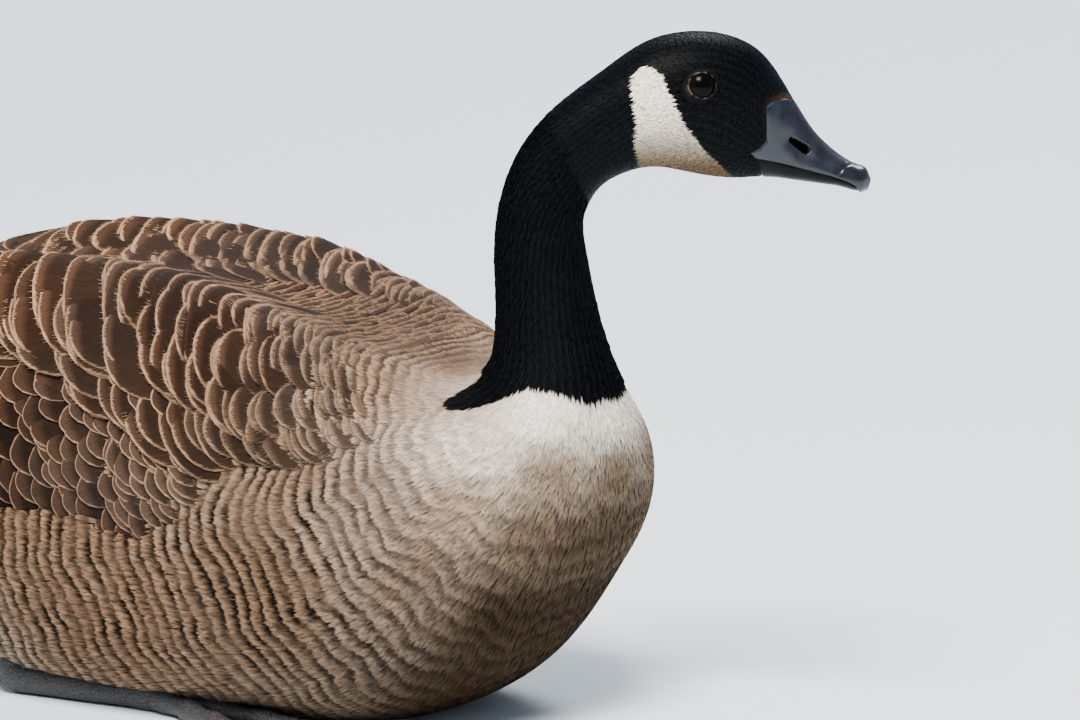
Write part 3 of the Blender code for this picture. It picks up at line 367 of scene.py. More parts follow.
@dataclass
class Markings:
    """Colours all over the bird, shared by skin and coat."""

    swatches: tuple[Swatch, ...] = tuple(Swatch(*line) for line in (
        ("sock_end", 180, (0.76, 0.66, 0.56), (0.88, 0.79, 0.69)),
        ("sock_end", 120, (0.84, 0.74, 0.64), (0.92, 0.84, 0.75)),
        ("collar", 100, (0.52, 0.41, 0.325), (0.74, 0.64, 0.54)),
        # From the collar back under the breast to the fore belly these grow far darker towards the bottom: partly a
        # tan stain, partly painted shade under the body.
        ("collar", 140, (0.17, 0.115, 0.074), (0.26, 0.185, 0.125)),
        ("collar", 180, (0.11, 0.072, 0.043), (0.165, 0.112, 0.07)),
        ("breast", 152, (0.024, 0.0135, 0.007), (0.044, 0.026, 0.0145)),
        ("shoulder", 180, (0.051, 0.0315, 0.0185), (0.089, 0.058, 0.036)),
        ("shoulder", 145, (0.088, 0.055, 0.034), (0.155, 0.104, 0.069)),
        ("shoulder", 163, (0.055, 0.0345, 0.0205), (0.097, 0.064, 0.040)),
        ("breast", 166, (0.025, 0.0142, 0.0075), (0.046, 0.0275, 0.0155)),
        ("breast", 180, (0.026, 0.015, 0.008), (0.048, 0.029, 0.0165)),
        ("fore_belly", 160, (0.026, 0.015, 0.008), (0.05, 0.031, 0.018)),
        ("shoulder", 115, (0.20, 0.135, 0.09), (0.34, 0.24, 0.165)),
        ("breast", 125, (0.095, 0.064, 0.044), (0.19, 0.132, 0.092)),
        ("breast", 95, (0.125, 0.082, 0.058), (0.28, 0.20, 0.146)),
        ("fore_belly", 75, (0.054, 0.029, 0.0165), (0.24, 0.153, 0.099)),
        ("wing_front", 105, (0.045, 0.0235, 0.0135), (0.18, 0.110, 0.067)),
        ("middle", 110, (0.042, 0.021, 0.012), (0.22, 0.13, 0.077)),
        ("middle", 180, (0.16, 0.125, 0.095), (0.26, 0.21, 0.165)),
        ("hip", 140, (0.13, 0.09, 0.06), (0.27, 0.205, 0.145)),
        ("rump", 180, (0.78, 0.77, 0.74), (0.86, 0.85, 0.83)),
        ("sock_end", 60, (0.32, 0.24, 0.185), (0.54, 0.43, 0.34)),
        ("sock_end", 0, (0.15, 0.098, 0.068), (0.30, 0.22, 0.165)),
        ("collar", 50, (0.20, 0.13, 0.092), (0.40, 0.29, 0.22)),
        ("collar", 0, (0.045, 0.0255, 0.0155), (0.165, 0.104, 0.067)),
        ("shoulder", 40, (0.052, 0.029, 0.0175), (0.29, 0.184, 0.120)),
        ("breast", 10, (0.036, 0.0185, 0.0105), (0.19, 0.112, 0.067)),
        ("wing_front", 0, (0.034, 0.0165, 0.009), (0.27, 0.155, 0.09)),
        ("wing_front", 45, (0.048, 0.0225, 0.0122), (0.46, 0.275, 0.165)),
        ("wing_back", 40, (0.066, 0.0300, 0.0155), (0.54, 0.315, 0.18)),
        ("wing_back", 75, (0.022, 0.0098, 0.0053), (0.26, 0.142, 0.079)),
        ("vent", 50, (0.033, 0.0185, 0.011), (0.20, 0.13, 0.082)),
        ("rump", 20, (0.014, 0.0105, 0.008), (0.04, 0.03, 0.022)),
    ))
    black: Colour = (0.0009, 0.0010, 0.0013)
    cheek: Colour = (0.86, 0.76, 0.61)
    # the pale patch's colour low under the throat: partly a buff stain, partly painted shade under the head
    throat: Colour = (0.10, 0.056, 0.025)
    white: Colour = (0.84, 0.83, 0.80)
    rump: Colour = (0.010, 0.0078, 0.0062)
    bar_pitch: float = 7.0  # between the bars of breast and sides, millimetres
    # What bends the bars: height, turns for a turn round the body, millimetres for a radian along it, phase.
    bar_waves: Table = ((2.6, 5, math.inf, 0.4), (1.6, 13, 31, 0.0), (0.5, 31, 17, 1.0))
    bar_lean: float = 18.0  # how far they lean forwards towards the back at the shoulder, millimetres
    shoulder: tuple[float, float] = (352 * MM, 95 * MM)  # its middle, and how far it reaches
    bar_limit: float = 0.78  # of their strength
    cheek_edges: Table = (
        (243, 205, 252), (248.6, 205.5, 246.6), (254, 206, 241.8), (258.8, 205, 237), (262.5, 204, 233.8),
        (266.2, 203.2, 230.7), (271.5, 203.2, 227), (277, 203, 223.4), (285.7, 201.2, 219.3),
        (291.5, 200.2, 216.4), (295.2, 201, 214.8), (297.6, 202.6, 212.4), (299, 205, 209.6), (299.5, 207.4, 207.4),
    )

    def body(self, place: Array, angle: Array) -> tuple[Array, Array]:
        """Colours of the body: the swatches, weighted by 1 / distance^4 on the straight bird.

        Args:
            place: Along the spine.
            angle: Round the section.
        Returns:
            The feathers' own colour and that of their edges.
        """
        here = BODY.straight(place, np.abs(angle))[..., None, :]
        spots = np.stack([BODY.straight(P[s.station], s.angle * DEG) for s in self.swatches])
        weight = 1 / (np.sum((here - spots) ** 2, axis=-1) + 1e-4) ** 2
        weight = (weight / weight.sum(-1, keepdims=True))[..., None]
        tones, rims = np.array([s.tone for s in self.swatches]), np.array([s.rim for s in self.swatches])
        tone, rim = (weight * tones).sum(-2), (weight * rims).sum(-2)
        high = np.abs(angle)
        vent = ease((place - P["vent"] + 26 * MM) / (16 * MM)) * ease((high - 1.62) / 0.25)
        rump = ease((place - P["vent"] - 14 * MM) / (30 * MM)) * ease((1.35 - high) / 0.3)
        tail_root = ease((place - P["tail_root"] - 6 * MM) / (5 * MM))
        for share, colour in ((vent, self.white), (rump, self.rump), (tail_root, self.white)):
            tone = tone + (np.array(colour) - tone) * share[..., None]
            rim = rim + (np.array(colour) * 1.08 - rim) * share[..., None]
        return tone, rim

    def bars(self, place: Array, angle: Array) -> Array:
        """The faint pale bars that cross the breast and sides, each with a painted shadow behind it.

        They lie a pitch apart along the spine, bent by the waves and the lean. Their strength grows from the neck to
        the sides and the back, falls off under the belly, and is almost gone from the vent on.

        Args:
            place: Along the spine.
            angle: Round the section.
        Returns:
            How many of them lie before a point, their strength there, and 0.
        """
        high = np.abs(angle)
        near = bump_at(place, *self.shoulder)
        wave = sum(
            height * np.sin(turns * angle + place / (long * MM) + phase)
            for height, turns, long, phase in self.bar_waves
        )
        wave = wave + self.bar_lean * near * (1 - ease((high - 0.75) / 0.85))
        number = (place / MM + wave) / self.bar_pitch
        back = ease((place - 262 * MM) / (40 * MM)) * ease((1.5 - high) / 0.6)
        # At the shoulder the sides' bars are stronger: paler bars and deeper painted shadow behind them.
        side = ease((place - 272 * MM) / (90 * MM)) * ease((2.9 - high) / 1.0) + 0.3 * near * bump_at(high, 1.1, 0.4)
        front = ease((place - 256 * MM) / (30 * MM))
        strength = np.minimum(np.maximum(0.05 + 0.2 * front + 0.58 * side, 0.66 * back), self.bar_limit)
        strength = strength * (1 - 0.85 * ease((place - 565 * MM) / (40 * MM)))
        return np.stack([number, strength, 0 * number], -1)

    def cheek_share(self, place: Array, angle: Array, soft: float = 0.8 * MM) -> Array:
        """1 inside the pale patch that runs from behind each eye under the throat, 0 outside it."""
        flat = BODY.straight(place, angle)
        level, back, front = np.array(self.cheek_edges).T * MM
        x, z = flat[..., 0], flat[..., 2]
        inside = np.minimum(x - np.interp(z, level, back), np.interp(z, level, front) - x)
        share = ease(inside / soft + 0.5) * (z < level[-1]) * (place > P["bill_base"])
        return share * (place < P["throat"])

    def sock_end(self, angle: Array) -> Array:
        """The place where the black of the neck ends: a little further down behind each side of the neck."""
        high = np.abs(angle)
        foot = 19 * MM * bump_at(high, 1.08, 0.42) * ease((high - 0.74) / 0.26)
        return P["sock_end"] - 2.5 * MM + foot + 4 * MM * ease((high - 2.1) / 0.7)

    def head(self, place: Array, angle: Array) -> tuple[Array, Array]:
        """Colours of the head and neck: black, the pale patch, darker low down with a buff stain and painted shade,
        and brown tips above the bill.
        """
        patch = self.cheek_share(place, angle)[..., None]
        flat = BODY.straight(place, angle)
        # The patch darkens towards the throat: partly a buff stain, partly painted shade under the head.
        lower = ease((286 * MM - flat[..., 2]) / (35 * MM))[..., None]
        white = np.array(self.cheek) + (np.array(self.throat) - self.cheek) * lower
        black = np.array(self.black) * np.ones_like(white)
        brow = ease((5 * MM - (place - face_place(angle))) / (4 * MM)) * bump_at(angle, 0, 0.62)
        black = black + np.array([0.13, 0.062, 0.026]) * brow[..., None]
        tone = black + (white - black) * patch
        return tone, tone * 1.15 + 0.0005


MARKINGS = Markings()

# ------------------------------------------------------------------------------------ where feathers meet bill

FACE_LINE = (
    (243, 261), (256, 257.5), (260.5, 254), (262.5, 258.5), (266.5, 261.5), (281.5, 261.5), (283.5, 264),
    (285.5, 272), (288, 285),
)
"""Height and x of the line where the feathers meet the bill, seen from the side. Millimetres."""
WEDGE, WEDGE_HALF_WIDTH = 14 * MM, 7.5 * MM
MOUTH_LINE = (
    (249, 261.2), (257, 257.8), (272.4, 254.4), (289.6, 249.6), (297, 246.7), (300.4, 244.6), (302.6, 241),
    (312, 232),
)
"""x and height of the line of the mouth. Millimetres."""


def face_ahead(place: Array, angle: Array) -> Array:
    """How far a point of the outline lies ahead of the feathers' edge, whose middle reaches forwards in a wedge."""
    flat = BODY.straight(place, angle)
    level, line = np.array(FACE_LINE).T * MM
    x, y, z = np.moveaxis(flat, -1, 0)
    bulge = WEDGE * np.exp(-((y / WEDGE_HALF_WIDTH) ** 2)) * ease((z - 262 * MM) / (14 * MM))
    return x - (np.interp(z, level, line) + bulge)


def solved(goal: Callable[[Array], Array], low: Array, high: Array) -> Array:
    """Where a falling function reaches 0, by halving the interval 26 times for a whole array at once."""
    for _ in range(26):
        middle = (low + high) / 2
        above = goal(middle) > 0
        low, high = np.where(above, middle, low), np.where(above, high, middle)
    return (low + high) / 2


FACE_ANGLES = np.linspace(-math.pi, math.pi, 721)
FACE_PLACES = solved(
    lambda place: face_ahead(place, FACE_ANGLES), np.full(721, P["bill_front"]), np.full(721, P["eye"])
)


def face_place(angle: Array) -> Array:
    """The place where the feathers' edge crosses a line that runs along the head."""
    return np.interp(angle, FACE_ANGLES, FACE_PLACES)


def mouth_angle(place: Array) -> Array:
    """The angle round the bill at which the line of the mouth lies."""
    run, level = np.array(MOUTH_LINE).T * MM

    def above(angle: Array) -> Array:
        """Height over the line of the mouth."""
        flat = BODY.straight(place, angle)
        return flat[..., 2] - np.interp(flat[..., 0], run, level)

    return solved(above, np.full_like(place, 0.3), np.full_like(place, math.pi - 0.05))


# ------------------------------------------------------------------------------------------------ finishes


def opaque(colour: Colour, level: float = 1.0) -> tuple[float, float, float, float]:
    """A colour times a brightness, with an opaque fourth channel."""
    return (*(level * part for part in colour), 1.0)


class Nodes:
    """Short ways to add shader nodes to a new material."""

    def __init__(self, name: str) -> None:
        """Starts a material with its Principled BSDF."""
        self.material = bpy.data.materials.new(name)
        self.material.use_nodes = True
        self.tree = self.material.node_tree
        self.shader = self.tree.nodes["Principled BSDF"]

    def add(self, kind: str, inputs: dict[str | int, object] | None = None, **settings: object) -> Node:
        """Adds a node, sets its properties, and sets or links its inputs."""
        node = self.tree.nodes.new(kind)
        for key, value in settings.items():
            setattr(node, key, value)
        for key, value in (inputs or {}).items():
            self.put(node.inputs[key], value)
        return node

    def put(self, socket: Socket, value: object) -> None:
        """Links a socket to another, or sets its number or colour."""
        if isinstance(value, Socket):
            self.tree.links.new(value, socket)
        else:
            socket.default_value = value

    def math(self, operation: str, *values: object, clamp: bool = False) -> Socket:
        """The result of a Math node."""
        node = self.add("ShaderNodeMath", dict(enumerate(values)), operation=operation, use_clamp=clamp)
        return node.outputs[0]

    def times(self, first: object, second: object) -> Socket:
        """A product."""
        return self.math("MULTIPLY", first, second)

    def plus(self, first: object, second: object) -> Socket:
        """A sum."""
        return self.math("ADD", first, second)

    def minus(self, first: object, second: object) -> Socket:
        """A difference."""
        return self.math("SUBTRACT", first, second)

    def line(self, value: object, slope: object, start: object) -> Socket:
        """A product and a sum: value times slope, plus start."""
        return self.math("MULTIPLY_ADD", value, slope, start)

    def span(self, value: object, low: object, high: object, start: object = 0.0, end: object = 1.0) -> object:
        """A value smoothly mapped from one span to another."""
        inputs = {"Value": value, "From Min": low, "From Max": high, "To Min": start, "To Max": end}
        return self.add("ShaderNodeMapRange", inputs, interpolation_type="SMOOTHSTEP").outputs[0]

    def mix(self, share: object, first: object, second: object, blend: str = "MIX") -> Socket:
        """A mix of two colours."""
        node = self.add("ShaderNodeMix", data_type="RGBA", blend_type=blend)
        for index, value in ((0, share), (6, first), (7, second)):
            self.put(node.inputs[index], value)
        return node.outputs[2]

    def shaded(self, colour: object, level: object) -> Socket:
        """A colour times a brightness."""
        return self.mix(1.0, colour, self.vector(level, level, level), "MULTIPLY")

    def noise(self, vector: object, scale: float, detail: float = 2.0) -> Socket:
        """A noise value."""
        return self.add("ShaderNodeTexNoise", {"Vector": vector, "Scale": scale, "Detail": detail}).outputs[0]

    def place(self) -> Socket:
        """The object's own coordinates."""
        return self.add("ShaderNodeTexCoord").outputs["Object"]

    def attribute(self, name: str, output: str = "Fac") -> Socket:
        """An attribute of the mesh, as a number, or as its Color or Vector."""
        return self.add("ShaderNodeAttribute", attribute_name=name).outputs[output]

    def vane(self) -> tuple[Socket, ...]:
        """The share across a tuft and that along it."""
        return self.parts(self.add("ShaderNodeUVMap", uv_map="vane").outputs[0])[:2]

    def vector(self, *values: object) -> Socket:
        """A vector of three values."""
        return self.add("ShaderNodeCombineXYZ", dict(enumerate(values))).outputs[0]

    def parts(self, vector: object) -> tuple[Socket, ...]:
        """The three parts of a vector."""
        return tuple(self.add("ShaderNodeSeparateXYZ", {0: vector}).outputs)

    def bump(self, height: object, distance: float, strength: float) -> None:
        """Bumps the surface by a height."""
        inputs = {"Height": height, "Distance": distance, "Strength": strength}
        self.put(self.shader.inputs["Normal"], self.add("ShaderNodeBump", inputs).outputs[0])

    def surface(self, **inputs: object) -> Material:
        """Sets the shader's inputs, with _ for a space, and returns the material."""
        for key, value in inputs.items():
            self.put(self.shader.inputs[key.replace("_", " ")], value)
        return self.material


@dataclass(frozen=True)
class FeatherFinish:
    """Vanes with their own colour, a pale edge that frays along the barbs, and painted shade where they are covered.
    """

    name: str
    roughness: float = 0.75
    specular: float = 0.05
    barbs: float = 1.5  # groups of barbs to a millimetre
    lean: float = 0.55  # how fast a barb runs outwards as it runs towards the tip
    shade: float = 0.3  # brightness of the painted shade where the next feather lies over it
    glow: float = 1.25  # brightness beside the rim, over that of the middle
    ragged: float = 1.7  # how far the rim's inner edge wanders where it frays, of the rim
    gaps: float = 0.75  # how dark the gaps between its barbs are
    fall: float = 0.6  # share of the open part over which that painted shade fades
    bump: float = 0.55

    def build(self) -> Material:
        """Makes the material.

        The distance to the edge is the vane's inset, or (1 - u) length where its fray is full, so that a row's
        tips join into one bar. A barb is a line of equal |v| half width - lean u length, and a noise across the
        barbs moves the inner edge of the pale rim and breaks the rim up.
        """
        n = Nodes(self.name)
        across, along = n.vane()
        length, half, cover = n.parts(n.attribute("gauge", "Vector"))
        rim, fray, seed = n.parts(n.attribute("fringe", "Vector"))
        signed = n.line(across, 2.0, -1.0)
        side = n.times(n.math("ABSOLUTE", signed), half)
        run = n.times(along, length)
        inset = n.attribute("inset")
        ahead = n.minus(n.minus(length, run), inset)
        edge = n.line(n.span(fray, 0.7, 1.0), ahead, inset)
        barb = n.times(n.line(run, -self.lean, side), self.barbs)
        seat = n.line(seed, 90.0, n.math("SIGN", signed))
        line = n.vector(barb, n.times(run, 0.12), seat)
        comb = n.span(n.noise(line, 1.0, 3.0), 0.34, 0.66)
        reach = n.times(rim, n.line(n.times(comb, fray), self.ragged, 0.6))
        soft = n.line(fray, 0.5, 0.25)
        pale = n.span(edge, n.minus(reach, soft), n.plus(reach, soft), 1.0, 0.0)
        gaps = n.times(n.minus(1.0, comb), fray)
        pale = n.times(pale, n.line(gaps, -self.gaps, 1.0))
        tone, edges = n.attribute("tone", "Color"), n.attribute("rim", "Color")
        level = n.line(comb, 0.28, 0.86)
        dark = n.span(edge, n.plus(reach, 0.2), n.plus(reach, 6.0), self.glow, 0.9)
        level = n.times(level, dark)
        colour = n.mix(pale, n.shaded(tone, level), edges)
        # Painted shade: darker from where the next feather's tip lies over the vane, fading out over part of its open
        # length.
        start = n.minus(cover, 0.03)
        stop = n.line(n.minus(1.0, cover), self.fall, start)
        under = n.span(along, start, stop, self.shade, 1.0)
        colour = n.shaded(colour, under)
        shaft = n.span(side, 0.1, 0.45, 1.0, 0.0)
        n.bump(n.line(shaft, 0.5, comb), 0.5 * MM, self.bump)
        return n.surface(Base_Color=colour, Roughness=self.roughness, Specular_IOR_Level=self.specular)


@dataclass(frozen=True)
class PlushFinish:
    """Very short feathers, each of one colour, with a fine grain along them."""

    name: str
    roughness: float = 0.65
    specular: float = 0.035
    sheen: float = 0.006
    sheen_tint: Colour = (0.55, 0.68, 1.0)
    barred: bool = False
    contrast: float = 1.0

    def build(self) -> Material:
        """Makes the material: the tuft's colour times a streaky noise in its own map, and bars where it has them."""
        n = Nodes(self.name)
        across, along = n.vane()
        _, _, seed = n.parts(n.attribute("fringe", "Vector"))
        streak = n.noise(n.vector(n.line(across, 5.0, n.times(seed, 60.0)), along, seed), 1.0)
        tone, edges = n.attribute("tone", "Color"), n.attribute("rim", "Color")
        colour = n.mix(n.span(along, 0.45, 1.0), tone, edges)
        level = n.span(streak, 0.3, 0.7, 1 - 0.3 * self.contrast, 1 + 0.25 * self.contrast)
        if self.barred:
            level = self.bars(n, seed, streak, level)
        else:
            n.bump(streak, 0.12 * MM, 0.3)
        return n.surface(
            Base_Color=n.shaded(colour, level), Roughness=self.roughness, Specular_IOR_Level=self.specular,
            Sheen_Weight=self.sheen, Sheen_Roughness=0.45, Sheen_Tint=opaque(self.sheen_tint),
        )

    @staticmethod
    def bars(n: Nodes, seed: Socket, streak: Socket, level: Socket) -> Socket:
        """Adds bars and fine fibres along the body to a level, and raises them.

        A bar rises from its front to four fifths of its width, in tone and height, and falls off behind, where the
        dark is painted shadow behind its pale edge. Noises in three sizes, and the tuft's own number, move it, and a
        fourth noise makes it stronger or weaker.

        Args:
            n: The material's nodes.
            seed: The tuft's own number.
            streak: The noise along the tuft.
            level: The brightness so far.
        Returns:
            The brightness with bars.
        """
        number, strength, _ = n.parts(n.attribute("course", "Vector"))
        x, y, z = n.parts(n.place())
        fibre = n.noise(n.vector(n.times(x, 90.0), n.times(y, 620.0), n.times(z, 620.0)), 1.0)
        shift = n.line(n.noise(n.place(), 140.0, 2.0), 0.45, number)
        shift = n.line(n.noise(n.place(), 32.0, 1.0), 1.2, shift)
        share = n.math("FRACT", n.line(seed, 0.08, n.line(fibre, 0.6, shift)))
        wave = n.times(n.span(share, 0.05, 0.8), n.span(share, 0.8, 1.0, 1.0, 0.0))
        strength = n.times(strength, n.span(n.noise(n.place(), 75.0, 2.0), 0.34, 0.62, 0.5, 1.2))
        # The dark part of each wave is painted shadow behind the bar's pale edge.
        level = n.times(level, n.line(n.line(wave, 1.9, -1.0), strength, 1.0))
        level = n.times(level, n.span(fibre, 0.3, 0.7, 0.86, 1.14))
        n.bump(n.line(wave, n.times(strength, 1.2), n.plus(streak, fibre)), 0.22 * MM, 0.45)
        return level


@dataclass(frozen=True)
class SkinFinish:
    """Down under the coat, in the coat's own colours."""

    name: str = "down"

    def build(self) -> Material:
        """Makes the material: the skin's colours times a fine noise."""
        n = Nodes(self.name)
        grain = n.noise(n.place(), 900.0, 4.0)
        level = n.span(grain, 0.3, 0.7, 0.9, 1.2)
        n.bump(grain, 0.6 * MM, 0.6)
        tone = n.attribute("tone", "Color")
        return n.surface(Base_Color=n.shaded(tone, level), Roughness=0.9,
                         Specular_IOR_Level=0.15)


@dataclass(frozen=True)
class HornFinish:
    """Satin black horn with faint scratches, painted darker as shade in its hollows, and in a second colour where
    marked.
    """

    name: str
    # Black with a bluish tint: the horn's own black, tinted by a painted sky reflection.
    colour: Colour = (0.0052, 0.0068, 0.0112)
    marked: Colour = (0.0040, 0.0050, 0.0075)
    roughness: float = 0.25
    specular: float = 0.48
    # Painted shade: the near black of hollows, where the mark is low.
    hollow: Colour = (0.0004, 0.0004, 0.0004)

    def build(self) -> Material:
        """Makes the material: its mark attribute runs from 0, a hollow painted near black as shade, over 0.5, plain,
        to 1, the second colour.
        """
        n = Nodes(self.name)
        place = n.place()
        broad, fine = n.noise(place, 160.0, 3.0), n.noise(place, 1400.0, 3.0)
        mark = n.attribute("mark")
        colour = n.mix(n.span(broad, 0.3, 0.7), opaque(self.colour), opaque(self.colour, 1.7))
        colour = n.mix(n.span(mark, 0.55, 1.0), colour, opaque(self.marked))
        # Painted shade: the lower the mark below 0.45, the nearer the colour comes to near black, and the rougher it
        # gets.
        hollow = n.span(mark, 0.0, 0.45, 1.0, 0.0)
        colour = n.mix(hollow, colour, opaque(self.hollow))
        rough = n.span(broad, 0.2, 0.8, self.roughness - 0.05, self.roughness + 0.12)
        rough = n.math("MULTIPLY_ADD", hollow, 0.7, rough, clamp=True)
        n.bump(n.line(fine, 0.35, broad), 0.35 * MM, 0.22)
        return n.surface(Base_Color=colour, Roughness=rough, Specular_IOR_Level=self.specular)


@dataclass(frozen=True)
class EyeFinish:
    """A dark brown iris round a black pupil, under a wet clear coat."""

    name: str = "eye"
    iris: Colour = (0.0016, 0.0011, 0.0009)
    pupil: Colour = (0.001, 0.001, 0.001)
    rim: Colour = (0.004, 0.003, 0.003)
    pupil_radius: float = 0.6  # of the iris's

    def build(self) -> Material:
        """Makes the material: its mark attribute is the distance from the eye's axis, over the iris's radius."""
        n = Nodes(self.name)
        mark = n.attribute("mark")
        fibres = n.noise(n.place(), 2600.0, 2.0)
        iris = n.mix(n.span(fibres, 0.3, 0.7), opaque(self.iris), opaque(self.iris, 2.2))
        colour = n.mix(n.span(mark, self.pupil_radius, self.pupil_radius + 0.06), opaque(self.pupil), iris)
        colour = n.mix(n.span(mark, 0.93, 1.0), colour, opaque(self.rim))
        return n.surface(Base_Color=colour, Roughness=0.25, Specular_IOR_Level=0.03, Coat_Weight=0.07,
                         Coat_Roughness=0.02)


@dataclass(frozen=True)
class LidFinish:
    """Bare dark skin with a broken line of tiny pale feathers along its rim."""

    name: str = "lid"
    colour: Colour = (0.0016, 0.0016, 0.0018)
    pale: Colour = (0.085, 0.064, 0.050)

    def build(self) -> Material:
        """Makes the material: its mark attribute is 1 along the rim."""
        n = Nodes(self.name)
        place = n.place()
        broken = n.span(n.noise(place, 420.0, 4.0), 0.44, 0.62)
        pale = n.times(n.attribute("mark"), broken)
        colour = n.mix(pale, opaque(self.colour), opaque(self.pale))
        n.bump(n.noise(place, 1500.0, 2.0), 0.2 * MM, 0.5)
        return n.surface(Base_Color=colour, Roughness=0.75, Specular_IOR_Level=0.08)


@dataclass(frozen=True)
class LegFinish:
    """Black scaly skin."""

    name: str = "leg_skin"
    colour: Colour = (0.016, 0.016, 0.017)
    worn: Colour = (0.05, 0.048, 0.046)
    seam: Colour = (0.006, 0.006, 0.006)
    scales: float = 520.0  # to a metre

    def build(self) -> Material:
        """Makes the material: cells of about 2 mm with darker seams."""
        n = Nodes(self.name)
        place = n.place()
        inputs = {"Vector": place, "Scale": self.scales}
        seams = n.add("ShaderNodeTexVoronoi", inputs, feature="DISTANCE_TO_EDGE").outputs[0]
        scale = n.span(seams, 0.0, 0.12)
        grain = n.noise(place, 900.0, 3.0)
        colour = n.mix(grain, opaque(self.colour), opaque(self.worn))
        colour = n.mix(scale, opaque(self.seam), colour)
        n.bump(n.line(grain, 0.2, scale), 0.4 * MM, 0.6)
        return n.surface(Base_Color=colour, Roughness=n.span(grain, 0.2, 0.8, 0.38, 0.6), Specular_IOR_Level=0.45)


@dataclass(frozen=True)
class FloorFinish:
    """A plain pale floor with a trace of unevenness."""

    name: str = "floor"
    colour: Colour = (0.85, 0.935, 1.0)

    def build(self) -> Material:
        """Makes the material."""
        n = Nodes(self.name)
        level = n.noise(n.place(), 1.5, 3.0)
        colour = n.mix(level, opaque(self.colour, 0.97), opaque(self.colour))
        return n.surface(Base_Color=colour, Roughness=0.6, Specular_IOR_Level=0.2)


# ---------------------------------------------------------------------------------------------- feathers


@dataclass(frozen=True)
class VaneShape:
    """The outline of a vane: how many rows and columns it has, and how it widens, rounds off and arches."""

    rows: int
    columns: int
    root: float = 0.45  # width at the root, of the full width
    widest: float = 0.55  # share of the length where it is widest
    taper: float = 0.35  # share of the width lost at the tip
    round: float = 0.16  # how far the tip's corners fall back, of the length
    camber: float = 0.05  # rise of the middle over the sides, of the width
    teeth: float = 0.0  # raggedness of the tip, of the length
    bend: float = 1.0  # how late it rises: the power of the share of the length
    oval: float = 0.0  # how much the part beyond the widest narrows like half an ellipse: 1 ends in a point
    tilt: float = 0.0  # how far one that heads down or inwards leans over its neighbour there, of the width
    tapering: float = 2.2  # how late it tapers: the power of the share beyond the widest

    def breadth(self, u: Array) -> Array:
        """Width at shares of the length, of the full width: eased up to the widest, tapering and oval beyond it."""
        beyond = np.clip((u - self.widest) / (1 - self.widest), 0, 1)
        wide = self.root + (1 - self.root) * ease(u / self.widest)
        return wide * (1 - self.taper * beyond**self.tapering) * np.sqrt(1 - self.oval * beyond**2)


@dataclass
class Feathers:
    """Many feathers of one shape, as arrays: where each grows, its size, heading and colours."""

    place: Array
    angle: Array
    heading: Array
    length: Array
    width: Array
    low: Array
    high: Array
    tone: Array
    rim: Array
    rim_width: Array
    fray: Array
    # share of each feather's length that the next row covers, where its painted shade starts
    cover: Array

    @classmethod
    def alike(cls, count: int, **parts: object) -> Feathers:
        """Feathers from arrays with a row for each, and from numbers and colours that all of them share."""
        wide = {"tone": (3,), "rim": (3,)}
        return cls(**{key: np.ones((count, *wide.get(key, ()))) * value for key, value in parts.items()})

    def kept(self, mask: Array) -> Feathers:
        """Those for which the mask is true."""
        return Feathers(**{key: value[mask] for key, value in vars(self).items()})

    def joined(self, other: Feathers) -> Feathers:
        """These and others."""
        return Feathers(**{key: np.concatenate([value, getattr(other, key)]) for key, value in vars(self).items()})

    def lean(self) -> Array:
        """Which way each leans over its neighbours: from -1, heading up, to 1, heading down."""
        return np.tanh(self.heading / (10 * DEG))

    def fringe(self, draws: np.random.Generator) -> Array:
        """Width of each pale rim in millimetres, its fray, and a number of its own."""
        return np.stack([self.rim_width * 1000, self.fray, draws.random(len(self.place))], -1)


Course = Callable[[Array, Array, Array, Feathers], Array]


def surface_place(run: Array, across: Array, group: Feathers) -> tuple[Array, Array]:
    """Place and angle of points of feathers that lie along the body.

    They are the root's, moved by the run and the distance across, turned by the feather's heading and divided by
    the surface's own metric at the feather's middle.
    """
    along, around = BODY.metric(group.place, group.angle)
    middle = group.place + 0.5 * group.length / along
    along, around = BODY.metric(middle, group.angle)
    side = np.where(group.angle < 0, -1.0, 1.0)
    across = across * side[:, None]
    heading = group.heading * side
    cos, sin = np.cos(heading)[:, None], np.sin(heading)[:, None]
    at_place = group.place[:, None] + (run * cos - across * sin) / along[:, None]
    at_angle = group.angle[:, None] + (run * sin + across * cos) / around[:, None]
    return at_place, at_angle


def surface_course(run: Array, across: Array, height: Array, group: Feathers) -> Array:
    """Points of feathers that lie along the body, at a height over its outline."""
    return BODY.point(*surface_place(run, across, group), height)


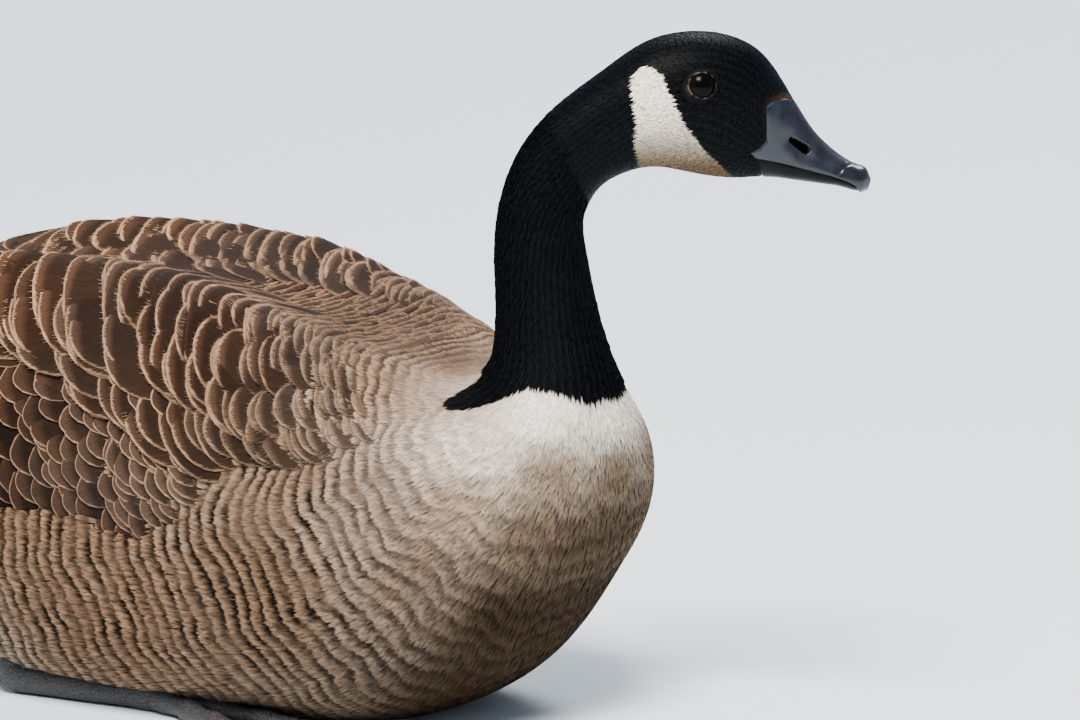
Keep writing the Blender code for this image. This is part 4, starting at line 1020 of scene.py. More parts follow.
@dataclass
class Coat:
    """One mesh of many feathers."""

    name: str
    shape: VaneShape
    group: Feathers
    course: Course = surface_course
    seed: int = 1
    level: bool = False  # whether their upper side faces up, and not away from the spine
    roots: tuple[Array, Array] | None = None  # place and angle on the skin, where the group's own aren't that
    thickness: float = 0.25 * MM  # of each vane's middle
    wobble: float = 0.03  # how far tips stray to one side, of half the width

    def build(self, finish: Material, slot: str) -> Piece:
        """Makes the coat's mesh.

        Args:
            finish: The coat's material.
            slot: Not used.
        Returns:
            The mesh object, with the maps vane and OFBake.
        """
        group, draws = self.group, np.random.default_rng(self.seed)
        run, across, height, v, u, inset = self.vanes(draws)
        points = self.course(run, across, height, group)
        quads, triangles = self.faces(points)
        each = {
            "tone": with_alpha(group.tone), "rim": with_alpha(group.rim), "fringe": group.fringe(draws),
            "gauge": np.stack([group.length * 1000, group.width * 500, group.cover], -1),
        }
        values = {key: np.repeat(value, run.shape[1], axis=0) for key, value in each.items()}
        values["inset"] = inset * 1000
        if self.course is surface_course:
            values["course"] = MARKINGS.bars(*surface_place(run, across, group))
        maps = tuft_maps(*(self.roots or (group.place, group.angle)), v, u)
        LOG.info("%s: %d feathers, %d triangles", self.name, len(points), len(quads) * 2 + len(triangles))
        return dressed(mesh_object(self.name, points, quads, triangles, maps, values), slot, finish)

    def vanes(self, draws: np.random.Generator) -> tuple[Array, ...]:
        """Lays out every vane's vertices.

        Each vane is a grid in u, from root to tip, and v, from side to side, and a line under its middle. Its run is
        length (u - round v^2 u^2), its distance across is v times half its breadth, and its height runs from low
        to high with u^bend, plus the camber times 1 - v^2 and the tilt times v.

        Args:
            draws: Random numbers, for ragged tips and for vanes that bend to one side.
        Returns:
            Run, distance across, height, v, u and distance from the outline, with one row for each vane.
        """
        shape, group = self.shape, self.group
        count, columns = len(group.place), shape.columns + 1
        u = (1 - (1 - np.linspace(0, 1, shape.rows + 1)) ** 1.35)[:, None] * np.ones(columns)
        v = np.linspace(-1, 1, columns) * np.ones((shape.rows + 1, 1))
        wide = shape.breadth(u)
        length, width, low, high, lean = (
            part[:, None, None] for part in (group.length, group.width, group.low, group.high, group.lean())
        )
        ragged = draws.random((count, columns))[:, None, :] * (shape.teeth * u**6)
        run = length * (u - shape.round * v**2 * u**2 - ragged)
        across = width / 2 * (v * wide + draws.normal(0, self.wobble, (count, 1, 1)) * u**2)
        height = low + (high - low) * u**shape.bend + shape.camber * width * wide * (1 - v**2)
        height = height + shape.tilt * width * v * wide * lean
        middle = shape.columns // 2
        parts = [np.broadcast_to(part, height.shape) for part in (run, across, height, v, u, self.inset(run, across))]
        parts = [np.concatenate([part, part[..., middle : middle + 1]], axis=-1) for part in parts]
        parts[2][..., -1] -= self.thickness
        return tuple(part.reshape(count, -1) for part in parts)

    @staticmethod
    def inset(run: Array, across: Array) -> Array:
        """Distance of every vertex from its vane's outline, the least over the segments of both sides and the tip."""
        flat = np.stack([run, across + 0 * run], -1)
        outline = np.concatenate([flat[:, :, 0], flat[:, -1, 1:-1], flat[:, ::-1, -1]], axis=1)[:, None, None]
        start, step = outline[..., :-1, :], np.diff(outline, axis=-2)
        away = flat[..., None, :] - start
        share = np.clip((away * step).sum(-1) / np.maximum((step**2).sum(-1), 1e-12), 0, 1)
        return np.linalg.norm(away - share[..., None] * step, axis=-1).min(-1)

    def faces(self, points: Array) -> tuple[Array, Array]:
        """Faces of every vane: its upper grid, two strips under it beside its middle line, and its two ends.

        Args:
            points: Vertices, one row for each vane.
        Returns:
            Quads and triangles, facing outwards.
        """
        rows, top = self.shape.rows + 1, self.shape.columns + 1
        columns, last = top + 1, self.shape.rows * (top + 1)
        i, j = np.meshgrid(np.arange(rows - 1) * columns, np.arange(top - 1), indexing="ij")
        upper = np.stack([i + j, i + j + 1, i + columns + j + 1, i + columns + j], -1).reshape(-1, 4)
        i, fan = i[:, 0], np.arange(top - 1)
        left = np.stack([i, i + columns, i + columns + top, i + top], -1)
        right = np.stack([i + top, i + columns + top, i + columns + top - 1, i + top - 1], -1)
        root = np.stack([np.full_like(fan, top), fan + 1, fan], -1)
        tip = np.stack([np.full_like(fan, last + top), last + fan, last + fan + 1], -1)
        start = (np.arange(len(points)) * rows * columns)[:, None, None]
        middle = (rows // 2) * columns + top // 2
        ahead = points[:, middle + columns] - points[:, middle]
        aside = points[:, middle + 1] - points[:, middle]
        away = np.array([0.0, 0.0, 1.0]) if self.level else points[:, middle] - spine_near(points[:, middle])
        facing = (np.cross(aside, ahead) * away).sum(-1)[:, None, None] > 0
        quads, triangles = (
            np.where(facing, kind[None], kind[None, :, ::-1]) + start
            for kind in (np.concatenate([upper, left, right]), np.concatenate([root, tip]))
        )
        return quads.reshape(-1, 4), triangles.reshape(-1, 3)


@dataclass
class Barbs:
    """Loose barbs that stand out beyond the tips of feathers, as one mesh of slim closed spikes."""

    name: str
    group: Feathers
    shape: VaneShape
    number: int
    reach: tuple[float, float]
    thick: float
    seed: int
    before: float = 2.4 * MM  # how far before the feather's edge a barb grows
    last: float = 0.94  # v of the outermost barbs
    stray: float = 0.35 * MM  # of the barbs' points to one side
    rise: float = 0.45 * MM  # of the barbs' points at most, over the vane
    shade: float = 0.75  # brightness of the barbs' feet, over that of their points
    value_spread: float = 0.14

    def build(self, finish: Material, slot: str) -> Piece:
        """Makes the spikes: each is a triangle on the vane, some way before its edge, drawn out to a point beyond it.

        The edge lies where v is the oval's own half width: at the widest share + (1 - widest) sqrt((1 - v^2) / oval).

        Args:
            finish: Their material.
            slot: Not used.
        Returns:
            The mesh object, with the maps vane and OFBake.
        """
        group, shape, every = self.group, self.shape, (len(self.group.place), self.number)
        draws = np.random.default_rng(self.seed)
        v = np.linspace(-self.last, self.last, self.number) + draws.normal(0, 0.5 / self.number, every)
        length, width, low, high, lean, fray = (
            part[:, None] for part in (group.length, group.width, group.low, group.high, group.lean(), group.fray)
        )
        beyond = np.minimum(1, np.sqrt((1 - v**2) / max(shape.oval, 1e-6)))
        edge = length * (shape.widest + (1 - shape.widest) * beyond - shape.round * v**2)
        root, narrow = edge - self.before, 1 - shape.taper
        across = width / 2 * v * narrow
        long = draws.uniform(*self.reach, every) * (0.4 + 0.6 * fray)
        stray = draws.normal(0, self.stray, every) + 0.6 * v * long
        middle = 1 - np.minimum(1, v**2 / (1 - shape.oval * beyond**2))
        level = low + (high - low) * (root / length) + shape.camber * width * narrow * middle
        level = level + shape.tilt * width * v * narrow * lean
        tip = level + (high - low) * self.before / length + draws.uniform(0.0, self.rise, every)
        run = np.stack([root, root, root, edge + long], -1)
        aside = np.stack([across - self.thick, across + self.thick, across, across + stray], -1)
        height = np.stack([level, level, level + self.thick * 1.2, tip + 0.1 * MM], -1)
        flat = (every[0], self.number * 4)
        points = surface_course(run.reshape(flat), aside.reshape(flat), height.reshape(flat), group)
        solid = points.reshape(-1, 4, 3)
        faces = np.array([[0, 1, 2], [0, 3, 1], [1, 3, 2], [2, 3, 0]])
        first = np.cross(solid[:, 1] - solid[:, 0], solid[:, 2] - solid[:, 0])
        inwards = (first * (solid[:, 0] - solid.mean(1))).sum(-1)[:, None, None] < 0
        faces = np.where(inwards, faces[None, :, ::-1], faces[None]) + (np.arange(len(solid)) * 4)[:, None, None]
        maps = tuft_maps(
            group.place, group.angle, np.repeat(v[..., None], 4, axis=-1).reshape(flat),
            np.tile([0.3, 0.3, 0.3, 1.0], every),
        )
        fringe = group.fringe(draws)
        value = np.exp(draws.normal(0, self.value_spread, (*every, 1, 1))) * np.ones((1, 1, 4, 1))
        rim = np.clip(group.rim[:, None, None, :] * value, 0, 1).reshape(-1, 3)
        fringe = np.repeat(fringe, flat[1], axis=0)
        values = {"tone": with_alpha(rim * self.shade), "rim": with_alpha(rim), "fringe": fringe}
        LOG.info("%s: %d barbs", self.name, v.size)
        made = mesh_object(self.name, points, np.zeros((0, 4), int), faces.reshape(-1, 3), maps, values)
        return dressed(made, slot, finish)


SPINE_PLACES = np.linspace(0, BODY.sizes.knots[-1], 120)
SPINE = BODY.point(SPINE_PLACES, 0.0) * 0.5 + BODY.point(SPINE_PLACES, math.pi) * 0.5


def spine_near(points: Array) -> Array:
    """The nearest point of the spine, the middle between top and bottom, to each point."""
    return SPINE[np.argmin(((points[:, None, :] - SPINE[None]) ** 2).sum(-1), axis=1)]


class Spread(Enum):
    """How a tract's rows go round the body."""

    BOTH_SIDES = "the same strip on each side"
    BAND = "one band across the top"


@dataclass(frozen=True)
class Row:
    """A key row of a tract. Lengths in millimetres, angles in degrees from the top; slants turn tips downwards."""

    station: float
    first: float
    last: float
    exposure: float
    width: float
    length: float
    slants: tuple[float, float] = (0.0, 0.0)
    tip: float = 1.0
    rim: float = 1.1
    fray: float = 0.4

    def measures(self) -> Array:
        """Its numbers in one line, in metres and radians."""
        line = (self.station, self.first, self.last, self.exposure, self.width, self.length, *self.slants, self.tip,
                self.rim, self.fray)
        return np.array(line) * (MM, DEG, DEG, MM, MM, MM, DEG, DEG, MM, MM, 1)


STRAIGHT = (0.0, 0.0)  # slants of rows whose feathers head straight back


def rows(*lines: tuple[object, ...], rim: float, fray: float) -> tuple[Row, ...]:
    """Key rows of equal rim and fray."""
    return tuple(Row(*line, rim=rim, fray=fray) for line in lines)


@dataclass
class Tract:
    """Feathers in rows, between key rows, laid like tiles."""

    keys: tuple[Row, ...]
    spread: Spread = Spread.BOTH_SIDES
    pitch: float = 0.6  # distance between neighbours, of their width
    uneven: float = 0.06  # of lengths and widths
    swing: float = 2.2  # of headings, degrees
    root: float = -3.6  # height of the roots over the outline, millimetres
    afloat: bool = False  # whether that height is over the tips' instead
    lanes: int = 0  # lines of feathers along the body, each with its own phase, in place of staggered rows
    jitter: float = 0.22  # of a row's exposure
    wander: float = 0.0  # of whole rows, smoothly, in exposures
    value_spread: float = 0.10
    rise_spread: float = 0.22  # of the height of the tips, millimetres
    rim_spread: float = 0.15
    fray_spread: float = 0.12
    warmth_spread: float = 0.025
    seed: int = 1
    wander_turns: tuple[float, ...] = (5.0, 13.0, 29.0)
    wander_heights: tuple[float, ...] = (0.5, 0.4, 0.3)

    def lay(self) -> Feathers:
        """Lays out the feathers: rows one exposure apart, neighbours one pitch apart, each row half a step over.

        Returns:
            The feathers, coloured by the markings of the body.
        """
        draws = np.random.default_rng(self.seed)
        keys = np.array([key.measures() for key in self.keys])
        both = self.spread is Spread.BOTH_SIDES
        parts: list[Array] = []
        phases = draws.uniform(-0.5, 0.5, (2, max(self.lanes, 1)))
        seats = draws.uniform(0, 6.28, 3)
        place, number = keys[0, 0], 0
        while place <= keys[-1, 0]:
            row = [np.interp(place, keys[:, 0], column) for column in keys.T]
            _, first, last, exposure, width, length, upper, lower, tip, rim, fray = row
            first = first if both else -last
            along = BODY.metric(np.array(place), np.array((first + last) / 2 if both else last * 0.5))[0]
            around = BODY.metric(np.full(25, place), np.linspace(first, last, 25))[1]
            count = self.lanes or max(2, round(float(np.mean(around)) * (last - first) / (width * self.pitch)))
            lane = np.arange(count)
            inner = max(first, 0)
            for side in (1, -1) if both else (1,):
                share = (lane + 0.5 * (number % 2) + draws.uniform(-0.16, 0.16, count) + 0.25) / count
                if self.lanes:
                    drift = 0.22 * np.sin(number * 0.37 + lane * 1.7 + side)
                    share = (lane + 0.5 + drift + draws.uniform(-0.1, 0.1, count)) / count
                angle = (first + (last - first) * share) * side
                seats = seats + draws.normal(0, 0.3, 3)
                waves = np.sin(angle[:, None] * self.wander_turns * side + seats) @ self.wander_heights
                stray = draws.normal(0, self.jitter, count) + self.wander * waves
                stray = stray + (phases[(side + 1) // 2] if self.lanes else 0)
                down = np.clip((np.abs(angle) - inner) / max(last - inner, 1e-6), 0, 1)
                turn = upper + (lower - upper) * down + draws.normal(0, self.swing * DEG, count)
                size, breadth = 1 + draws.normal(0, self.uneven, (2, count))
                high = tip + draws.normal(0, self.rise_spread * MM, count)
                rim_width = rim * (1 + draws.normal(0, self.rim_spread, count))
                frayed = np.clip(fray * (1 + draws.normal(0, self.fray_spread, count)), 0, 1)
                # The last part is where each feather's painted shade starts: the share that the next row covers,
                # almost none in the first row.
                parts.append(np.stack(np.broadcast_arrays(
                    place + stray * exposure / along, angle, turn, length * size, width * breadth,
                    self.root * MM + tip * self.afloat, high, rim_width, frayed,
                    1 - exposure / length if number else -1.0,
                ), -1))
            place += float(exposure / along)
            number += 1
        place, angle, turn, length, width, low, high, rim_width, fray, cover = np.concatenate(parts).T
        angle = (angle + math.pi) % (2 * math.pi) - math.pi
        tone, edge = MARKINGS.body(place, angle)
        value = np.exp(draws.normal(0, self.value_spread, (len(place), 1)))
        warm = 1 + draws.normal(0, self.warmth_spread, (len(place), 1)) * np.array([1, 0, -1])
        return Feathers(
            place, angle, turn, length, width, low, high, np.clip(tone * value * warm, 0, 1),
            np.clip(edge * value**0.6 * warm, 0, 1), rim_width, fray, cover,
        )


# -------------------------------------------------------------------------------------------------- the body


def parts_of(place: Array, angle: Array) -> Array:
    """The colours of the whole bird at places and angles: head and neck before the end of the black, then body."""
    upper = (place < MARKINGS.sock_end(angle))[..., None]
    return np.where(upper, MARKINGS.head(place, angle)[0], MARKINGS.body(place, angle)[0])


@dataclass
class Skin:
    """The down-covered skin in one piece, from the bill's edge to the tail, a coat's depth below the outline."""

    rows: int = 300
    columns: int = 200
    under_bill: float = 1.5 * MM  # how far it reaches under the bill
    head_depth: float = 0.9 * MM
    body_depth: float = 3.4 * MM
    silk_depth: float = 0.7 * MM  # under the tufts of the breast
    base_depth: float = 0.5 * MM  # added everywhere

    def depth(self, place: Array, angle: Array) -> Array:
        """Depth below the outline: eased from the head's to the body's, and to the silk's on breast and sides."""
        depth = self.head_depth + (self.body_depth - self.head_depth) * ease((place - P["throat"]) / (90 * MM))
        front = ease((place - P["neck_root"]) / (22 * MM)) * ease((P["keel"] + 34 * MM - place) / (24 * MM))
        front = front * np.maximum(ease((np.abs(angle) - 1.0) / 0.2), ease((P["breast"] - place) / (20 * MM)))
        return depth - (depth - self.silk_depth) * front

    def build(self) -> Piece:
        """Makes the skin: the outline at face + (end - face) (0.5 s + 0.5 s^2), sunk, with both ends closed."""
        share = np.linspace(0, 1, self.rows)[:, None]
        angle = np.linspace(-math.pi, math.pi, self.columns + 1)[None, :]
        start = face_place(angle) - self.under_bill
        place = start + (P["tail_core_end"] - start) * (0.5 * share + 0.5 * share**2)
        angle = angle + 0 * place
        depth = self.depth(place, angle) * ease((place - start) / (6 * MM)) + self.base_depth
        points = settled(BODY.point(place, angle, -depth))
        tone = parts_of(place, angle)
        ends = np.stack([points[0, :-1].mean(0), points[-1, :-1].mean(0)])
        tones = np.concatenate([tone.reshape(-1, 3), tone[0, :1], tone[-1, :1]])
        flat = np.concatenate([unwrap(place, angle).reshape(-1, 2), [[0.005, 0.5], [0.995, 0.5]]])
        grid = self.rows, self.columns + 1
        made = mended(mesh_object(
            "skin", np.concatenate([points.reshape(-1, 3), ends]), grid_faces(*grid), end_fans(*grid, closed=False),
            {"OFBake": flat}, {"tone": with_alpha(tones)},
        ))
        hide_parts("torso", "neck", "head")
        return dressed(made, "body_feathers", SkinFinish().build())


def settled(points: Array, low: float = 1.2 * MM) -> Array:
    """Points kept over the floor: below low their height z falls off as low exp(z / low - 1)."""
    level = points[..., 2]
    pressed = np.where(level < low, low * np.exp(np.minimum(level, low) / low - 1), level)
    return np.concatenate([points[..., :2], pressed[..., None]], axis=-1)


@dataclass
class Plumage:
    """The small feathers of breast, flanks, belly, back, rump and the tail's root."""

    shape: VaneShape = VaneShape(2, 8, root=0.7, widest=0.5, taper=0.0, round=0.0, camber=0.0, teeth=0.03, bend=0.4)
    tuft_shape: VaneShape = VaneShape(2, 2, root=0.6, widest=0.5, taper=0.6, round=0.22, camber=0.02, bend=0.6)
    back_shape: VaneShape = VaneShape(
        4, 10, root=0.6, widest=0.5, taper=0.05, round=0.07, camber=0.01, teeth=0.02, bend=0.7
    )
    flank_top: float = 88.5  # angle of the flank's upper edge, degrees
    flank_rise: float = 20.0  # how far that edge rises towards the tail
    flank_steps: float = 5.5  # how far it steps from bar to bar

    def breast(self) -> Feathers:
        """Fine silky tufts of the breast, from the black neck down and back to the sides."""
        keys = rows(
            (240, 0, 180, 2.4, 1.9, 8, STRAIGHT, -0.7),
            (262, 0, 180, 2.6, 2.1, 9, STRAIGHT, -0.5),
            (285, 0, 180, 3.0, 2.4, 10, STRAIGHT, -0.3),
            (300, 6, 180, 3.1, 2.5, 11, STRAIGHT, -0.2),
            (320, 50, 180, 3.3, 2.7, 12, STRAIGHT, 0.0),
            (350, 60, 180, 3.5, 2.8, 13, (2, 0), 0.1),
            (436, 64, 180, 3.8, 3.0, 13, (3, 0), 0.3),
            rim=0.3, fray=0.5,
        )
        laid = Tract(
            keys, seed=3, value_spread=0.06, jitter=0.5, root=-0.9, afloat=True, pitch=0.62, rise_spread=0.03,
            uneven=0.15, swing=5,
        ).lay()
        laid.tone, laid.rim = laid.tone * 0.4 + laid.rim * 0.51, laid.tone * 0.35 + laid.rim * 0.57
        return laid.kept(laid.place > MARKINGS.sock_end(laid.angle) - 4.5 * MM)

    def belly(self) -> Feathers:
        """Sides and belly, in rows round the body, from the breast back to the vent."""
        keys = (
            Row(430, 92, 180, 5.0, 17, 21, (6, 0), 1.2, 1.3, 1.0),
            Row(520, 104, 180, 6.0, 17, 22, (4, 0), 1.2, 1.2, 0.8),
            Row(600, 92, 180, 7.5, 19, 25, (0, 0), 1.0, 1.0, 0.6),
            Row(700, 70, 180, 9.0, 19, 27, (0, 0), 0.6, 1.0, 0.3),
        )
        return Tract(
            keys, seed=4, value_spread=0.015, jitter=0.04, wander=0.5, root=-3.2, pitch=0.6, rise_spread=0.04,
            uneven=0.008, swing=0.4,
        ).lay()

    def flank(self) -> Feathers:
        """Fringed tufts of the flank that lie over the wing's lower edge, each bar up to a height of its own."""
        keys = rows(
            (384, 92, 132, 3.5, 2.8, 12, (2, 0), 0.1),
            (404, 90, 136, 3.6, 2.8, 12, (2, 0), 1.6),
            (428, 96, 146, 3.7, 2.9, 13, (2, 0), 2.3),
            (450, 91, 148, 3.7, 2.9, 13, (2, -2), 2.6),
            (505, 89, 146, 3.9, 3.1, 14, (0, -4), 2.6),
            (575, 91, 150, 4.4, 3.4, 15, (-4, -8), 1.8),
            (640, 80, 152, 5.0, 3.9, 17, (-4, -8), 1.7),
            (692, 68, 152, 5.2, 4.2, 18, (0, -4), 1.2),
            rim=0.3, fray=0.5,
        )
        laid = Tract(
            keys, seed=5, root=-1.1, afloat=True, jitter=0.5, value_spread=0.1, pitch=0.6, rise_spread=0.06,
            uneven=0.16, swing=5,
        ).lay()
        laid.tone, laid.rim = laid.tone * 0.6 + laid.rim * 0.42, laid.tone * 0.4 + laid.rim * 0.62
        bar = np.floor(MARKINGS.bars(laid.place, laid.angle)[..., 0])
        top = self.flank_top - self.flank_rise * ease((laid.place - 600 * MM) / (90 * MM))
        own = np.sin(bar * 12.9898) * 43758.5 % 1  # between 0 and 1, without order from bar to bar
        return laid.kept(np.abs(laid.angle) > top * DEG + self.flank_steps * DEG * own)

    def mantle(self) -> Feathers:
        """The back, between the wings and over them at the front."""
        keys = (
            Row(286, 34, 34, 3.4, 16, 17, (0, 6), 0.0, 0.9, 1.0),
            Row(320, 30, 30, 4.0, 22, 22, (0, 12), 0.5, 0.9, 1.0),
            Row(344, 28, 28, 4.4, 24, 25, (0, 12), 0.7, 0.8, 1.0),
            Row(376, 24, 24, 5.0, 28, 28, (0, 12), 0.9, 0.8, 1.0),
            Row(450, 24, 24, 8.0, 30, 34, (0, 8), 0.9, 0.9, 0.6),
            Row(560, 24, 24, 12, 28, 40, tip=0.6, rim=1.0, fray=0.4),
            Row(690, 84, 84, 12, 20, 34, tip=0.6, rim=0.6, fray=0.3),
        )
        return Tract(
            keys, Spread.BAND, seed=7, pitch=0.5, jitter=0.07, wander=0.8, uneven=0.015, swing=0.8, rise_spread=0.04,
            value_spread=0.03, root=-3.2,
        ).lay()

    def tail_coverts(self) -> Feathers:
        """White feathers round the root of the tail."""
        keys = rows((686, 0, 180, 7, 14, 34), (722, 0, 180, 8, 15, 36, STRAIGHT, 0.8), rim=0.5, fray=0.2)
        return Tract(keys, seed=9, root=-2.4).lay()

    def build(self) -> list[Piece]:
        """Makes all of them."""
        silk = PlushFinish("breast_feathers", roughness=0.8, specular=0.02, sheen=0.0, barred=True, contrast=0.8)
        soft = FeatherFinish("belly_feathers", shade=0.6, lean=0.1, glow=1.02, barbs=1.9, ragged=0.9, gaps=0.35)
        back = FeatherFinish("back_feathers", shade=0.22, lean=0.3, ragged=1.0, gaps=0.6, glow=1.1)
        loose = PlushFinish("loose_barbs", sheen=0.0)
        silk, soft, back, loose = (finish.build() for finish in (silk, soft, back, loose))
        breast, flanks, mantle = self.breast(), self.flank(), self.mantle()
        sides = breast.joined(flanks)
        high = np.abs(sides.angle)
        sides = sides.kept((sides.place > 285 * MM) & (high > 0.9) & (high < 2.3))
        sides.rim = np.minimum(sides.rim * 1.35, 0.88)
        front = mantle.kept(mantle.place < 360 * MM)
        return [
            layer.build(finish, "body_feathers")
            for layer, finish in (
                (Coat("coat_breast_left", self.tuft_shape, breast.kept(breast.angle > 0)), silk),
                (Coat("coat_breast_right", self.tuft_shape, breast.kept(breast.angle <= 0)), silk),
                (Coat("coat_belly", self.shape, self.belly()), soft),
                (Coat("coat_flank", self.tuft_shape, flanks), silk),
                (Coat("coat_mantle", self.back_shape, mantle), back),
                (Coat("coat_tail_coverts", self.back_shape, self.tail_coverts()), soft),
                (Barbs("side_barbs", sides, self.tuft_shape, 1, (0.3 * MM, 2.0 * MM), 0.16 * MM, 42), loose),
                (Barbs("mantle_barbs", front, self.back_shape, 9, (0.3 * MM, 1.1 * MM), 0.22 * MM, 43), loose),
            )
        ]


@dataclass
class Wings:
    """The folded wings: coverts in rows, broad scapulars over them, and the flight feathers."""

    covert_shape: VaneShape = VaneShape(
        6, 8, root=0.5, widest=0.5, taper=0.0, round=0.03, camber=0.025, oval=0.9, tilt=0.03
    )
    scapular_shape: VaneShape = VaneShape(
        8, 10, root=0.4, widest=0.45, taper=0.0, round=0.03, camber=0.014, teeth=0.01, oval=0.9, tilt=0.03
    )
    quill_shape: VaneShape = VaneShape(28, 12, root=0.35, widest=0.3, taper=0.55, round=0.06, camber=0.03)

    def coverts(self) -> Feathers:
        """Small coverts at the front and the lower edge, larger ones further back."""
        keys = (
            Row(372, 56, 72, 5.4, 24, 24, (20, 14), 1.0, 0.8, 0.7),
            Row(392, 54, 84, 5.8, 22, 25, (22, 14), 1.1, 0.65, 0.3),
            Row(410, 46, 92, 6.0, 21, 26, (24, 14), 1.2, 0.55, 0.2),
            Row(450, 42, 98, 7.4, 23, 30, (26, 12), 1.3, 0.55, 0.15),
            Row(490, 40, 102, 9.0, 27, 36, (26, 8), 1.4, 0.6, 0.15),
            Row(530, 38, 106, 10.5, 28, 40, (18, 4), 1.6, 0.7, 0.15),
            Row(566, 36, 104, 13, 28, 46, (8, 0), 1.8, 0.8, 0.15),
        )
        return Tract(keys, seed=11, jitter=0.3, uneven=0.1, pitch=0.5).lay()

    def scapulars(self) -> Feathers:
        """Broad feathers that fold over the ridge between back and wing."""
        keys = (
            Row(290, 20, 64, 3.2, 20, 15, (-4, 14), 0.2, 0.7, 1.0),
            Row(316, 22, 64, 3.7, 28, 20, (-10, 18), 0.8, 0.8, 0.85),
            Row(345, 22, 66, 4.4, 36, 28, (-18, 22), 1.4, 0.9, 0.7),
            Row(385, 17, 62, 5.2, 46, 37, (-24, 24), 1.9, 0.9, 0.6),
            Row(412, 15, 54, 5.6, 52, 42, (-26, 28), 2.2, 0.9, 0.55),
            Row(440, 14, 48, 6.4, 54, 46, (-26, 28), 2.3, 0.9, 0.5),
            Row(475, 13, 42, 7.8, 54, 50, (-22, 24), 2.4, 0.9, 0.4),
            Row(510, 12, 42, 10.0, 50, 56, (-16, 16), 2.8, 0.9, 0.35),
            Row(550, 12, 44, 12.0, 48, 60, (-12, 12), 4.4, 1.0, 0.3),
            Row(612, 12, 42, 14, 44, 60, (-8, 6), 7.6, 1.0, 0.3),
        )
        return Tract(keys, seed=13, lanes=5, root=-3.4, jitter=0.45, uneven=0.13, swing=4, value_spread=0.12).lay()

    def build(self) -> list[Piece]:
        """Makes coverts, scapulars with loose barbs, and flight feathers."""
        finish = FeatherFinish("wing_feathers", roughness=0.7, specular=0.05, shade=0.4, glow=1.14, fall=0.75).build()
        loose = PlushFinish("wing_barbs", sheen=0.0).build()
        broad = self.scapulars()
        barbs = Barbs("scapular_barbs", broad, self.scapular_shape, 26, (0.35 * MM, 1.1 * MM), 0.15 * MM, 44)
        layers = (
            Coat("coverts", self.covert_shape, self.coverts(), seed=2),
            Coat("scapulars", self.scapular_shape, broad, seed=3), self.long_feathers(), self.outer_feathers(),
        )
        pieces = [layer.build(finish, "wing_feathers") for layer in layers]
        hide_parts("wing_left", "wing_right")
        return [*pieces, barbs.build(loose, "wing_feathers")]

    def long_feathers(self) -> Coat:
        """Feathers of the inner wing, the same on both sides."""
        table = np.array(LONG_FEATHERS)
        place, angle, length, width, slant, low, high = np.concatenate([table, table * (1, -1, 1, 1, 1, 1, 1)]).T
        value = np.exp(np.random.default_rng(17).normal(0, 0.1, (len(place), 1)))
        group = Feathers.alike(
            len(place), place=place * MM, angle=angle * DEG, heading=slant * DEG, length=length * MM,
            width=width * MM, low=low * MM, high=high * MM, tone=np.array((0.095, 0.056, 0.036)) * value,
            rim=np.array((0.36, 0.26, 0.18)) * value, rim_width=0.9 * MM, fray=0.15, cover=0.45,
        )
        return Coat("inner_flight_feathers", self.quill_shape, group, seed=5)

    def outer_feathers(self) -> Coat:
        """The outer flight feathers, bundled: each one above ends 16 mm further forwards."""
        level = np.tile(np.arange(5.0), 2)
        side = np.repeat([1.0, -1.0], 5)
        group = Feathers.alike(
            len(side), place=BUNDLE.start, angle=side, heading=level, length=BUNDLE.length - level * 16 * MM,
            width=24 * MM, low=0.0, high=0.0, tone=(0.026, 0.021, 0.018), rim=(0.06, 0.048, 0.04),
            rim_width=0.5 * MM, fray=0.2, cover=0.3,
        )
        roots = np.full(len(side), BUNDLE.start), side * (50 + level * 2) * DEG
        return Coat("outer_flight_feathers", self.quill_shape, group, BUNDLE.course, 6, True, roots)


LONG_FEATHERS = (
    (566.0, 20.0, 95, 30, -2, -2.2, 11.0),
    (562.0, 34.0, 98, 30, -6, -3.0, 8.9),
    (556.0, 48.0, 99, 29, -11, -4.5, 6.9),
    (496.0, 62.0, 160, 27, -13, -8.0, 5.6),
    (528.0, 76.0, 112, 24, -8, -3.6, 4.0),
    (522.0, 90.0, 106, 25, -13, -5.8, 1.6),
    (540.0, 98.0, 88, 22, -16, -5.8, 1.0),
)
"""Flight feathers of the inner wing: place, angle, length, width, slant, height of root and of tip."""


@dataclass(frozen=True)
class Bundle:
    """The line that the outer flight feathers follow: over the rump and on over the tail."""

    start: float = P["vent"] - 4 * MM
    leaves_body: float = P["tail_middle"]
    length: float = 190 * MM
    angles: tuple[float, float] = (60 * DEG, 36 * DEG)
    inwards: float = -0.12
    heights: tuple[float, float, float] = (-8.6 * MM, 1.6 * MM, 2.7 * MM)
    pitch: float = 1.15 * MM

    def course(self, run: Array, across: Array, height: Array, group: Feathers) -> Array:
        """Points over the bundle's line on the body, and straight on behind it, one pitch higher for each level."""
        side, level = group.angle[:, None], group.heading[:, None]
        start, rump, tail = self.heights
        rise = start + (rump - start) * ease(run / (P["rump"] - self.start))
        rise = rise + (tail - rump) * ease((run - 70 * MM) / (30 * MM)) + level * self.pitch + height
        on_body = np.minimum(run, self.leaves_body - self.start)
        behind = run - on_body
        place = self.start + on_body
        angle = self.angles[0] + (self.angles[1] - self.angles[0]) * on_body / (self.leaves_body - self.start)
        half = BODY.sizes(place)[..., 4]
        point = BODY.point(place, angle + across / half, rise)
        point = point + np.stack([-behind, behind * self.inwards, 0 * behind], axis=-1)
        return point * np.stack([np.ones_like(side), side, np.ones_like(side)], axis=-1)


BUNDLE = Bundle()


